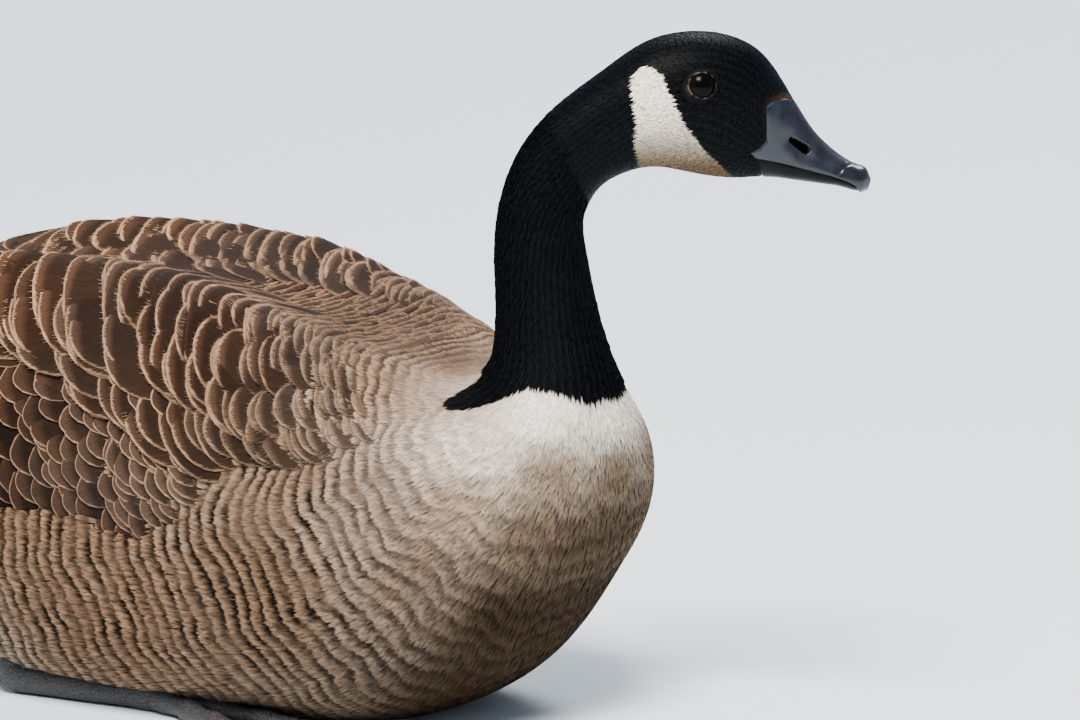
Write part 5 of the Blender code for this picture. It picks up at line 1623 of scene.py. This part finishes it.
@dataclass
class Tail:
    """Sixteen long black feathers, fanned, the middle pair on top."""

    pairs: int = 8
    shape: VaneShape = VaneShape(20, 12, root=0.4, widest=0.4, taper=0.45, round=0.08, camber=0.02)

    root: tuple[float, float, float] = (-262 * MM, 4.5, 117.6 * MM)  # of the middle pair, y in millimetres
    spacing: float = 2.6  # from root to root, millimetres
    headings: tuple[float, float] = (1.5, 3.1)  # the middle pair's, and from one to the next, degrees
    level_height: float = 1.1 * MM
    droop: float = 0.04  # of the run
    fall: float = 9.0  # to each side, times y^2

    def course(self, run: Array, across: Array, height: Array, group: Feathers) -> Array:
        """Points along straight lines that fan out, fall to each side with y^2, and droop with the run."""
        side, number = np.sign(group.angle)[:, None], group.place[:, None]
        root_x, root_y, root_z = self.root
        heading = (self.headings[0] + number * self.headings[1]) * DEG
        y = (self.spacing * number + root_y) * MM + run * np.sin(heading) + across * np.cos(heading)
        x = root_x - run * np.cos(heading) + across * np.sin(heading)
        level = np.where((number == 0) & (side > 0), -1, number)
        z = root_z - self.droop * (root_x - x) - level * self.level_height + height - self.fall * y**2
        return np.stack([x, side * y, z], axis=-1)

    def build(self) -> Piece:
        """Makes the tail feathers."""
        number = np.tile(np.arange(self.pairs, dtype=float), 2)
        side = np.repeat([1.0, -1.0], self.pairs)
        count = len(number)
        group = Feathers.alike(
            count, place=number, angle=side, heading=0.0, length=(92 - number) * MM, width=21 * MM, low=0.0, high=0.0,
            tone=(0.012, 0.0105, 0.010), rim=(0.035, 0.029, 0.025), rim_width=0.4 * MM, fray=0.2, cover=0.3,
        )
        finish = FeatherFinish("tail_feathers", roughness=0.5, specular=0.22).build()
        roots = np.full(count, P["covert_tips"]), side * (8 + number * 9) * DEG
        made = Coat("tail_fan", self.shape, group, self.course, 8, True, roots).build(finish, "tail_feathers")
        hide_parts("tail")
        return made


# ------------------------------------------------------------------------------------------- head and neck


@dataclass
class Eye:
    """One eye: its ball, and lids that follow the head outside and the ball inside."""

    side: int
    place: float = (P["eye"] + P["crown"]) / 2 + 1.4 * MM
    angle: float = 72 * DEG
    radius: float = 7.6 * MM
    shows: float = 2.5 * MM
    iris: float = 5.3 * MM
    opening: tuple[float, float] = (6.0 * MM, 5.4 * MM)
    toe_in: float = 8 * DEG
    clear_middle: float = 6.5 * MM  # round the eye's axis, of the middles of feathers
    clear_tip: float = 6.35 * MM  # of their tips
    ball_grid: tuple[int, int] = (32, 48)
    corners: int = 72  # of the lids' ring
    outer_lid: Table = ((8.4, -1.2), (8.2, 0.1), (7.5, 0.5), (6.9, 0.62))
    inner_lid: Table = (
        (0.72, 0.95, 0.2), (0.4, 0.98, 1.0), (0.1, 0.75, 1.0), (0.0, 0.35, 0.1), (0.05, -0.5, 0.0),
    )

    def frame(self) -> tuple[Array, Array, Array, Array]:
        """The ball's middle, and unit vectors forwards, upwards and outwards."""
        surface = BODY.point(self.place, self.side * self.angle)
        out = BODY.normal(np.array(self.place), np.array(self.side * self.angle))
        centre = surface - out * (self.radius - self.shows)
        turn = -self.side * self.toe_in
        x, y, z = out
        out = np.array([x * math.cos(turn) - y * math.sin(turn), x * math.sin(turn) + y * math.cos(turn), z])
        ahead = BODY.point(self.place - MM, self.side * self.angle) - surface
        ahead = ahead - out * (ahead @ out)
        ahead /= np.linalg.norm(ahead)
        return centre, ahead, np.cross(out, ahead) * -self.side, out

    def near(self, points: Array) -> Array:
        """Distance of points from the line along which the eye looks."""
        centre, _, _, out = self.frame()
        away = points - centre
        return np.linalg.norm(away - (away @ out)[..., None] * out, axis=-1) + 1e3 * ((away @ out) < 0)

    def build(self, eye_finish: Material, lid_finish: Material) -> list[Piece]:
        """Makes ball and lids."""
        side = "left" if self.side > 0 else "right"
        ball = dressed(self.ball("eyeball_" + side), "eye", eye_finish)
        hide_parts("eye_" + side)
        return [ball, dressed(self.lids("eyelids_" + side), "black_feathers", lid_finish)]

    def ball(self, name: str) -> Piece:
        """A sphere by its polar angle from the eye's axis and its angle round that axis."""
        centre, ahead, up, out = self.frame()
        rows, columns = self.ball_grid
        polar = np.linspace(0.02, math.pi - 0.02, rows)[:, None]
        turn = np.linspace(0, 2 * math.pi, columns, endpoint=False)[None, :]
        spoke = np.cos(turn)[..., None] * ahead + np.sin(turn)[..., None] * up
        points = centre + self.radius * (np.sin(polar)[..., None] * spoke + np.cos(polar)[..., None] * out)
        points = np.concatenate([points.reshape(-1, 3), [points[0].mean(0), points[-1].mean(0)]])
        mark = np.sin(polar) * self.radius / self.iris + 2 * (polar > 1.2) + 0 * turn
        marks = {"mark": np.concatenate([mark.ravel(), [0, 3]])}
        faces = grid_faces(rows, columns, closed=True), end_fans(rows, columns)
        return mended(mesh_object(name, points, *faces, values=marks))

    def lids(self, name: str) -> Piece:
        """A ring round the opening, as a closed band.

        Each row has a radius and a height, over the head in the outer rows and over the ball in the inner ones,
        where the radius is that of the opening, an oval.
        """
        centre, ahead, up, out = self.frame()
        turn = np.linspace(0, 2 * math.pi, self.corners, endpoint=False)
        cos, sin = np.cos(turn), np.sin(turn)
        along, around = BODY.metric(np.array(self.place), np.array(self.angle))
        rows = []
        for radius, height in self.outer_lid:
            at_angle = self.angle - radius * MM * sin / around
            rows.append(BODY.point(self.place - radius * MM * cos / along, self.side * at_angle, height * MM))
        for extra, height, _ in self.inner_lid:
            a, b = ((half + extra * MM) * part for half, part in zip(self.opening, (cos, sin)))
            depth = np.sqrt(np.maximum(self.radius**2 - a**2 - b**2, 0)) + height * MM
            rows.append(centre + a[:, None] * ahead + b[:, None] * up + depth[:, None] * out)
        rows += [rows[-1] * 0.5 + rows[0] * 0.5 - out * 1.5 * MM, rows[0]]
        marks = [0.0] * len(self.outer_lid) + [mark for *_, mark in self.inner_lid] + [0.0, 0.0]
        faces = grid_faces(len(rows), self.corners, closed=True)
        return mended(mesh_object(name, np.stack(rows), faces, values={"mark": np.repeat(marks, self.corners)}))


@dataclass
class Head:
    """Short feathers of head and neck, and the eyes among them."""

    head_shape: VaneShape = VaneShape(2, 2, root=0.6, widest=0.5, taper=0.6, round=0.25, camber=0.05, bend=0.35)
    neck_shape: VaneShape = VaneShape(2, 2, root=0.6, widest=0.5, taper=0.6, round=0.25, camber=0.06, bend=0.4)
    # Painted sheen: how strong the bluish streaks along the black neck are, and their colour.
    streaks: float = 0.45
    sheen_streak_tone: Colour = (0.0026, 0.0031, 0.0042)
    value_spread: float = 0.12

    def face(self) -> Feathers:
        """Feathers from the bill to the throat."""
        keys = rows(
            (24, 0, 180, 0.9, 1.1, 2.6, STRAIGHT, -0.35),
            (60, 0, 180, 1.0, 1.25, 3.2, STRAIGHT, -0.4),
            (100, 0, 180, 1.3, 1.4, 4.6, STRAIGHT, -0.5),
            (145, 0, 180, 1.7, 1.5, 6.0, STRAIGHT, -0.5),
            rim=0.3, fray=0.3,
        )
        laid = Tract(keys, seed=21, root=-1.3, pitch=0.6, jitter=0.5, rise_spread=0.04).lay()
        return laid.kept(laid.place > face_place(laid.angle) - 0.3 * MM)

    def neck(self) -> Feathers:
        """Longer feathers of the neck, which end in a ragged line over the breast."""
        keys = rows(
            (142, 0, 180, 1.7, 1.3, 7.0, STRAIGHT, -0.6),
            (200, 0, 180, 2.0, 1.35, 9.0, STRAIGHT, -0.7),
            (236, 0, 180, 1.8, 1.3, 8.0, STRAIGHT, 0.0),
            (270, 0, 180, 1.3, 1.1, 5.5, STRAIGHT, 0.5),
            rim=0.3, fray=0.3,
        )
        laid = Tract(keys, seed=23, root=-2.2, pitch=0.62, jitter=0.6, rise_spread=0.12).lay()
        return laid.kept(laid.place + 0.85 * laid.length < MARKINGS.sock_end(laid.angle))

    def coloured(self, laid: Feathers, seed: int) -> Feathers:
        """Gives feathers the markings of head and neck, with fine streaks of painted bluish sheen along the neck."""
        draws = np.random.default_rng(seed)
        tone, rim = MARKINGS.head(laid.place + laid.length * 0.8, laid.angle)
        count, mean = (len(tone), 1), tone.mean(-1, keepdims=True)
        value = np.exp(draws.normal(0, self.value_spread, count))
        pale = mean > 0.1
        fleck = draws.random(count) < 0.04 + 0.06 * pale
        streak = 1 + self.streaks * np.sin(laid.angle[:, None] * 46 + 3 * np.sin(laid.place[:, None] * 60))
        # Bluish grey added to the black's tone and rim along the streaks: painted sheen.
        painted_sheen = np.array(self.sheen_streak_tone) * np.clip(streak - 0.9, 0, 1) * (mean < 0.1)
        laid.tone = np.clip(tone * np.where(fleck, 0.75 - 0.25 * pale, 1) * value + painted_sheen, 0, 1)
        laid.rim = np.clip(rim * value + 1.6 * painted_sheen, 0, 1)
        return laid

    def build(self) -> list[Piece]:
        """Makes eyes and feathers."""
        eyes, finishes = (Eye(1), Eye(-1)), (EyeFinish().build(), LidFinish().build())
        pieces = [piece for eye in eyes for piece in eye.build(*finishes)]
        face = self.coloured(self.face(), 31)
        middle, tip = (BODY.point(face.place + face.length * share, face.angle) for share in (0.6, 1))
        for eye in eyes:
            clear = (eye.near(middle) > eye.clear_middle) & (eye.near(tip) > eye.clear_tip)
            face, middle, tip = face.kept(clear), middle[clear], tip[clear]
        neck = self.coloured(self.neck(), 33)
        short = PlushFinish(
            "head_feathers", roughness=0.5, specular=0.05, sheen=0.03, sheen_tint=(0.4, 0.6, 1.0), contrast=0.35
        ).build()
        long = PlushFinish("neck_feathers").build()
        back, low = face.place > 86 * MM, neck.place > 196 * MM
        for name, shape, laid, finish in (
            ("face_feathers", self.head_shape, face.kept(~back), short),
            ("nape_feathers", self.head_shape, face.kept(back), short),
            ("upper_neck_feathers", self.neck_shape, neck.kept(~low), long),
            ("neck_feathers", self.neck_shape, neck.kept(low), long),
        ):
            pieces.append(Coat(name, shape, laid, seed=len(pieces)).build(finish, "black_feathers"))
        return pieces


@dataclass
class Bill:
    """Both halves of the bill, with nostrils in shallow hollows and a nail at the tip."""

    rows: int = 150
    columns: int = 190
    lining: int = 10  # columns of the inner face
    tip_turns: tuple[float, ...] = (1.25, 0.95, 0.6, 0.3)  # angles at which the tip rounds off
    nail_x: float = 297 * MM
    nostril_x: tuple[float, float] = (272.6 * MM, 278.6 * MM)
    nostril_z: tuple[float, float] = (266.4 * MM, 262.2 * MM)
    slot_half: float = 2.3 * MM
    slot_depth: float = 4.2 * MM
    hollow_reach: float = 4.2 * MM
    hollow_depth: float = 1.0 * MM
    rim_height: float = 0.08 * MM
    groove_depth: float = 0.3 * MM

    def relief(self, flat: Array) -> tuple[Array, Array]:
        """Depth of the hollows, and the mark that colours the horn, darkening slot and groove as painted shade.

        The nostril is a capsule along a line on each side: a deep slot, wider at the line's end, in a hollow that
        fades as exp(-(distance / reach)^2), with a low rim. The nail's edge is a groove across the tip.
        """
        x, y, z = np.moveaxis(flat, -1, 0)
        (x0, x1), (z0, z1) = self.nostril_x, self.nostril_z
        run = np.clip(((x - x0) * (x1 - x0) + (z - z0) * (z1 - z0)) / ((x1 - x0) ** 2 + (z1 - z0) ** 2), 0, 1)
        away = np.hypot(x - x0 - run * (x1 - x0), z - z0 - run * (z1 - z0))
        beside = np.abs(y) > 3 * MM
        slot = ease((self.slot_half - away - 0.8 * MM * (1 - run)) / (0.8 * MM)) * beside
        hollow = np.exp(-((away / self.hollow_reach) ** 2)) * beside
        rim = bump_at(away, self.slot_half, 0.5 * MM)
        edge = x - self.nail_x - 2.2 * MM * (1 - (y / (6 * MM)) ** 2)
        groove = bump_at(edge, 0, 0.45 * MM)
        depth = self.slot_depth * slot + self.hollow_depth * hollow - self.rim_height * rim
        depth = depth + self.groove_depth * groove
        nail = ease(edge / (0.6 * MM))
        # The mark drops in the slot, which the horn's finish paints near black, and along the groove, which it paints
        # darker: painted shade.
        return depth, 0.5 + 0.3 * nail - 1.2 * slot - 0.25 * groove - 0.05 * hollow

    def half(self, name: str, upper: bool, finish: Material) -> Piece:
        """One half: an outer face from lip to lip, and a flat inner face, closed round the tip.

        Args:
            name: The piece's name.
            upper: Whether it is the upper half.
            finish: Its material.
        Returns:
            The mesh object.
        """
        outer, mark = self.outside(upper)
        across = np.linspace(1, -1, self.lining + 2)[1:-1]
        first, last = outer[:, -1:, :], outer[:, :1, :]
        inner = (first + last) / 2 + (first - last) / 2 * across[None, :, None]
        inner[..., 2] += (1 if upper else -1) * 0.8 * MM * (1 - across[None, :] ** 2)
        ring = np.concatenate([outer, inner], axis=1)
        # The inner faces get a mark of 0.3, which the horn's finish paints darker: painted shade between the halves.
        marks = np.concatenate([mark, np.full((self.rows, self.lining), 0.3)], axis=1)
        middle = ring[0].mean(0)
        ahead = middle - ring[4].mean(0)
        ahead /= np.linalg.norm(ahead)
        tip = [middle + (ring[0] - middle) * math.cos(t) + ahead * 0.7 * MM * math.sin(t) for t in self.tip_turns]
        ring = np.concatenate([np.stack(tip), ring])
        marks = np.concatenate([np.repeat(marks[:1], len(tip), axis=0), marks])
        points = np.concatenate([ring.reshape(-1, 3), [ring[0].mean(0) + ahead * 0.1 * MM, ring[-1].mean(0)]])
        faces = grid_faces(*ring.shape[:2], closed=True), end_fans(*ring.shape[:2])
        values = {"mark": np.concatenate([marks.ravel(), [0.9, 0.3]])}
        made = dressed(mended(mesh_object(name, points, *faces, values=values)), "bill", finish)
        if upper:
            self.open_nostrils(made)
        return made

    def outside(self, upper: bool) -> tuple[Array, Array]:
        """Points and marks of a half's outer face.

        Each row runs from lip to lip at one share of the way from the tip to the feathers, whose place depends on
        the angle, and that angle on the lip's at that place, so both are found by a few rounds.
        """
        share = np.linspace(0, 1, self.rows)[:, None]
        low, high = (0.25 if upper else 4.2) * MM, P["eye"] - 5 * MM
        guide = np.linspace(low, high, 200)
        lips = mouth_angle(guide)
        across = np.linspace(-1, 1, self.columns)[None, :]

        def around(place: Array, inset: Array = 0.0) -> Array:
            """Angles from lip to lip, drawn in by an inset."""
            lip = np.interp(place, guide, lips)
            return (lip - inset) * across if upper else math.pi + (math.pi - lip - inset) * across

        start = face_place(math.pi / 2 * across if upper else math.pi - math.pi / 2 * across)
        for _ in range(6):
            turned = (around(start) + math.pi) % (2 * math.pi) - math.pi
            start = np.minimum(face_place(turned) + 2.2 * MM, high)
        place = low + (start - low) * share**1.3
        angle = around(place, 0.006 * (1 - share) + 0.012)
        depth, mark = self.relief(BODY.straight(place, angle)) if upper else (0 * place, 0.5 + 0 * place)
        lip_round = 0.5 * MM * np.clip((np.abs(across) - 0.9) / 0.1, 0, 1) ** 2
        behind = ease((place - start + 3.2 * MM) / (2.4 * MM)) * 1.1 * MM
        plump = 1.1 * MM * ease((8 * MM - place) / (6 * MM)) * upper
        return BODY.point(place, angle, plump - (depth + lip_round + behind)), mark

    @staticmethod
    def open_nostrils(made: Piece) -> None:
        """Gives the faces that start where the mark is below 0, inside the nostrils, a near black material of their
        own: painted shade.
        """
        made.data.materials.append(HornFinish("nostril", (0.0002,) * 3, (0.0002,) * 3, 0.95, 0.0).build())
        start = np.empty(len(made.data.polygons), np.int32)
        made.data.polygons.foreach_get("loop_start", start)
        corner = np.empty(len(made.data.loops), np.int32)
        made.data.loops.foreach_get("vertex_index", corner)
        level = np.empty(len(made.data.vertices))
        made.data.attributes["mark"].data.foreach_get("value", level)
        made.data.polygons.foreach_set("material_index", (level[corner[start]] < 0.0).astype(np.int32))

    def build(self) -> list[Piece]:
        """Makes both halves."""
        under = HornFinish("lower_bill", (0.0010, 0.0013, 0.0020), (0.002, 0.0026, 0.004), 0.34, 0.09)
        upper = self.half("upper_bill", True, HornFinish("bill").build())
        lower = self.half("lower_bill", False, under.build())
        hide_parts("bill_upper")
        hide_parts("bill_lower")
        return [upper, lower]


# --------------------------------------------------------------------------------------------------- legs


@dataclass
class Leg:
    """A leg that lies beside the belly: shank, three webbed toes, a short hind toe, and claws. Millimetres."""

    side: int
    shank: Table = (
        (-74, 72, 16, 8.5), (-72.5, 74, 9, 8.2), (-66, 74.5, 7.2, 7.2), (-52, 74, 6.6, 6.2), (-30, 73, 6, 5.6),
        (-8, 71, 6, 6.0), (2, 70, 6, 6.8), (8, 70, 5.4, 5.4),
    )
    thigh: Table = ((-70, 73, 8, 7.0), (-58, 68, 20, 10), (-40, 62, 34, 13))
    toes: Table = (
        (4.6, 68.3, 70, 48, 5.2), (6.7, 70.4, 88, 72, 5.6), (5.3, 72.1, 66, 94, 5.2),
    )
    joints: Table = (
        (0, 1.1), (0.12, 1.0), (0.28, 0.8), (0.35, 0.93), (0.46, 0.82), (0.6, 0.7), (0.67, 0.82), (0.78, 0.66),
        (0.86, 0.62), (0.9, 0.66),
    )
    hind_toe: Table = (
        (-4, 68, 5, 4), (-10, 64.5, 4.2, 2.6), (-14, 62, 3, 1.6), (-17, 60.5, 1.6, 0.5),
    )
    claw: Table = ((7.5, 0.4, 2.2), (4.3, 0.7, 2.1), (1.1, 0.2, 1.5), (-2.1, -1.1, 0.6))  # way back, rise, radius
    ball: tuple[float, float] = (1.5, 69.4)
    web_grid: tuple[int, int] = (22, 14)

    def tube(self, line: Array, around: int = 20, steps: int = 5, rings: float = 0.0) -> tuple[Array, Array]:
        """A tube along a spline through points with radii, closed at both ends, with ring-like folds.

        Args:
            line: Rows of x, y, z and radius.
            around: Corners of a section.
            steps: Sections between two points of the line.
            rings: Height of the folds, over the radius.
        Returns:
            Vertices and quads; the ends are drawn together to a small circle.
        """
        line = np.asarray(line, float)
        run = np.concatenate([[0], np.cumsum(np.linalg.norm(np.diff(line[:, :3], axis=0), axis=1))])
        path = Spline(run, line)(np.linspace(0, run[-1], (len(line) - 1) * steps + 1))
        heading = np.gradient(path[:, :3], axis=0)
        heading /= np.linalg.norm(heading, axis=1, keepdims=True)
        path, heading = (np.concatenate([part[:1], part[:1], part, part[-1:], part[-1:]]) for part in (path, heading))
        for end, way in ((0, -1), (-1, 1)):
            radius = path[end, 3]
            for i, (ahead, narrow) in enumerate(((0.5, 0.1), (0.35, 0.75))):
                row = i if end == 0 else -1 - i
                path[row, :3] += way * heading[end] * radius * ahead
                path[row, 3] *= narrow
        aside = np.cross(heading, [0, 0, 1])
        aside /= np.maximum(np.linalg.norm(aside, axis=1, keepdims=True), 1e-9)
        upright = np.cross(aside, heading)
        turn = np.linspace(0, 2 * math.pi, around, endpoint=False)
        fold = 1 + rings * np.abs(np.sin(np.arange(len(path)) * 1.35))[:, None] * np.clip(np.sin(turn), 0, 1)
        radius = path[:, 3:4] * fold
        points = path[:, None, :3] + (radius * np.cos(turn))[..., None] * aside[:, None]
        points = points + (radius * np.sin(turn))[..., None] * upright[:, None]
        return points.reshape(-1, 3), grid_faces(len(path), around, closed=True)

    def web(self) -> tuple[Array, Array]:
        """The skin between two neighbouring toes, twice: from ball to tip, and from toe to toe, sagging."""
        rows, columns = self.web_grid
        wide, cap = 2 * columns, np.arange(columns - 1)
        share = np.linspace(0.04, 0.86, rows)[:, None, None]
        across = np.linspace(0, 1, columns)[None, :, None]
        parts, faces = [], []
        for first, second in zip(self.toes[:-1], self.toes[1:]):
            a, b = (np.array(toe[:2]) + share * (np.array(toe[2:4]) - toe[:2]) for toe in (first, second))
            hollow = 1 - 0.16 * 4 * across * (1 - across) * ease((share - 0.3) / 0.56)
            flat = self.ball + (a + (b - a) * across - self.ball) * hollow
            thick = (0.8 + 1.0 * (2 * np.abs(across - 0.5)) ** 3 + 0.12 * np.sin(share * 60)) * (1 - 0.3 * share)
            top = np.concatenate([flat, 0.9 + thick + 0 * flat[..., :1]], axis=-1)
            under = np.concatenate([flat, 0.12 + 0 * flat[..., :1]], axis=-1)
            ends = [np.stack([row + cap, row + cap + 1, row + wide - 2 - cap, row + wide - 1 - cap], -1)
                    for row in (0, (rows - 1) * wide)]
            count = len(parts) * rows * wide
            faces += [quads + count for quads in (grid_faces(rows, wide, closed=True), *ends)]
            parts.append(np.concatenate([top, under[:, ::-1]], axis=1).reshape(-1, 3))
        return np.concatenate(parts), np.concatenate(faces)

    def build(self, skin: Material, claw: Material) -> list[Piece]:
        """Makes leg and claws."""
        name = "left" if self.side > 0 else "right"
        parts = [
            self.tube(self.shank, 28, 6, 0.05), self.tube(self.thigh, 24, 6), self.tube(self.hind_toe, 14, 4),
            self.web(),
        ]
        claws = []
        for root_x, root_y, tip_x, tip_y, radius in self.toes:
            root, tip = np.array([root_x, root_y, 6.0]), np.array([tip_x, tip_y, 2.7])
            ahead = (tip - root) / np.linalg.norm(tip - root)
            line = [[*(root + (tip - root) * share), radius * part] for share, part in self.joints]
            nail = [[*(tip - ahead * back + (0, 0, rise)), size] for back, rise, size in self.claw]
            parts.append(self.tube(line, 20, 6, 0.09))
            claws.append(self.tube(nail, 14, 5))
        leg = self.joined("foot_" + name, parts, skin)
        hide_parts("leg_" + name)
        return [leg, self.joined("claws_" + name, claws, claw)]

    def joined(self, name: str, parts: Sequence[tuple[Array, Array]], finish: Material) -> Piece:
        """Joins parts into one piece, on this leg's side and not below the floor."""
        starts = np.cumsum([0] + [len(points) for points, _ in parts[:-1]])
        points = np.concatenate([points for points, _ in parts]) * MM * (1, self.side, 1)
        quads = np.concatenate([faces + start for (_, faces), start in zip(parts, starts)])
        return dressed(mended(mesh_object(name, settled(points), quads, sharp=50), fill=True), "leg_skin", finish)


# ------------------------------------------------------------------------------------------------ studio


@dataclass(frozen=True)
class Lamp:
    """A square lamp that faces the bird."""

    name: str
    place: tuple[float, float, float]
    size: float
    power: float
    colour: Colour
    target: tuple[float, float, float] = (0.05, 0.0, 0.12)

    def build(self) -> None:
        """Hangs the lamp."""
        light = bpy.data.lights.new(self.name, "AREA")
        light.size, light.energy, light.color = self.size, self.power, self.colour
        made = bpy.data.objects.new(self.name, light)
        made.location = self.place
        made.rotation_euler = (Vector(self.place) - Vector(self.target)).to_track_quat("Z", "Y").to_euler()
        bpy.context.scene.collection.objects.link(made)


@dataclass
class Studio:
    """A plain floor, soft light and the camera."""

    target: tuple[float, float, float] = (0.1626, -0.0020, 0.1658)
    distance: float = 6.5
    azimuth: float = 35 * DEG
    elevation: float = 11 * DEG
    lens: float = 492.4
    sensor: float = 36
    floor_half: float = 12
    lamps: tuple[Lamp, ...] = (
        Lamp("key", (1.2, -1.9, 3.6), 1.5, 430, (1.0, 0.965, 0.91)),
        Lamp("fill", (-2.4, -2.6, 2.4), 2.5, 30, (0.88, 0.93, 1.0)),
        Lamp("rim", (-0.8, 2.8, 2.8), 1.6, 130, (0.93, 0.96, 1.0)),
    )
    sky: Colour = (0.72, 0.82, 0.96)
    sky_strength: float = 0.42

    def camera(self) -> None:
        """Places the camera."""
        a, e = self.azimuth, self.elevation
        back = Vector((math.sin(a) * math.cos(e), -math.cos(a) * math.cos(e), math.sin(e)))
        lens = bpy.data.cameras.new("camera")
        lens.lens, lens.sensor_width, lens.clip_end = self.lens, self.sensor, 100
        made = bpy.data.objects.new("camera", lens)
        made.location = Vector(self.target) + back * self.distance
        made.rotation_euler = back.to_track_quat("Z", "Y").to_euler()
        bpy.context.scene.collection.objects.link(made)
        bpy.context.scene.camera = made

    def floor(self) -> None:
        """Lays the floor, a square."""
        side = np.linspace(-self.floor_half, self.floor_half, 5)
        x, y = np.meshgrid(side, side, indexing="ij")
        made = mesh_object("floor", np.stack([x, y, 0 * x], -1), grid_faces(5, 5)[:, ::-1])
        made.data.materials.append(FloorFinish().build())

    def build(self) -> None:
        """Makes floor, camera, lamps and sky."""
        self.floor()
        self.camera()
        for lamp in self.lamps:
            lamp.build()
        world = bpy.data.worlds.new("world")
        world.use_nodes = True
        sky = world.node_tree.nodes["Background"].inputs
        sky["Color"].default_value, sky["Strength"].default_value = opaque(self.sky), self.sky_strength
        bpy.context.scene.world = world


def main() -> None:
    """Builds each part of the bird in order, and logs how many pieces and triangles it has."""
    logging.basicConfig(level=logging.INFO, format="%(name)s: %(message)s")
    Studio().build()
    pieces = [Skin().build(), *Plumage().build(), *Wings().build(), Tail().build(), *Head().build(), *Bill().build()]
    leg_skin, claw = LegFinish().build(), HornFinish("claw", (0.012, 0.012, 0.012), roughness=0.4).build()
    pieces += [piece for side in (1, -1) for piece in Leg(side).build(leg_skin, claw)]
    total = sum(len(p.vertices) - 2 for piece in pieces for p in piece.data.polygons)
    LOG.info("%d pieces, %d triangles", len(pieces), total)


if __name__ == "__main__":
    main()
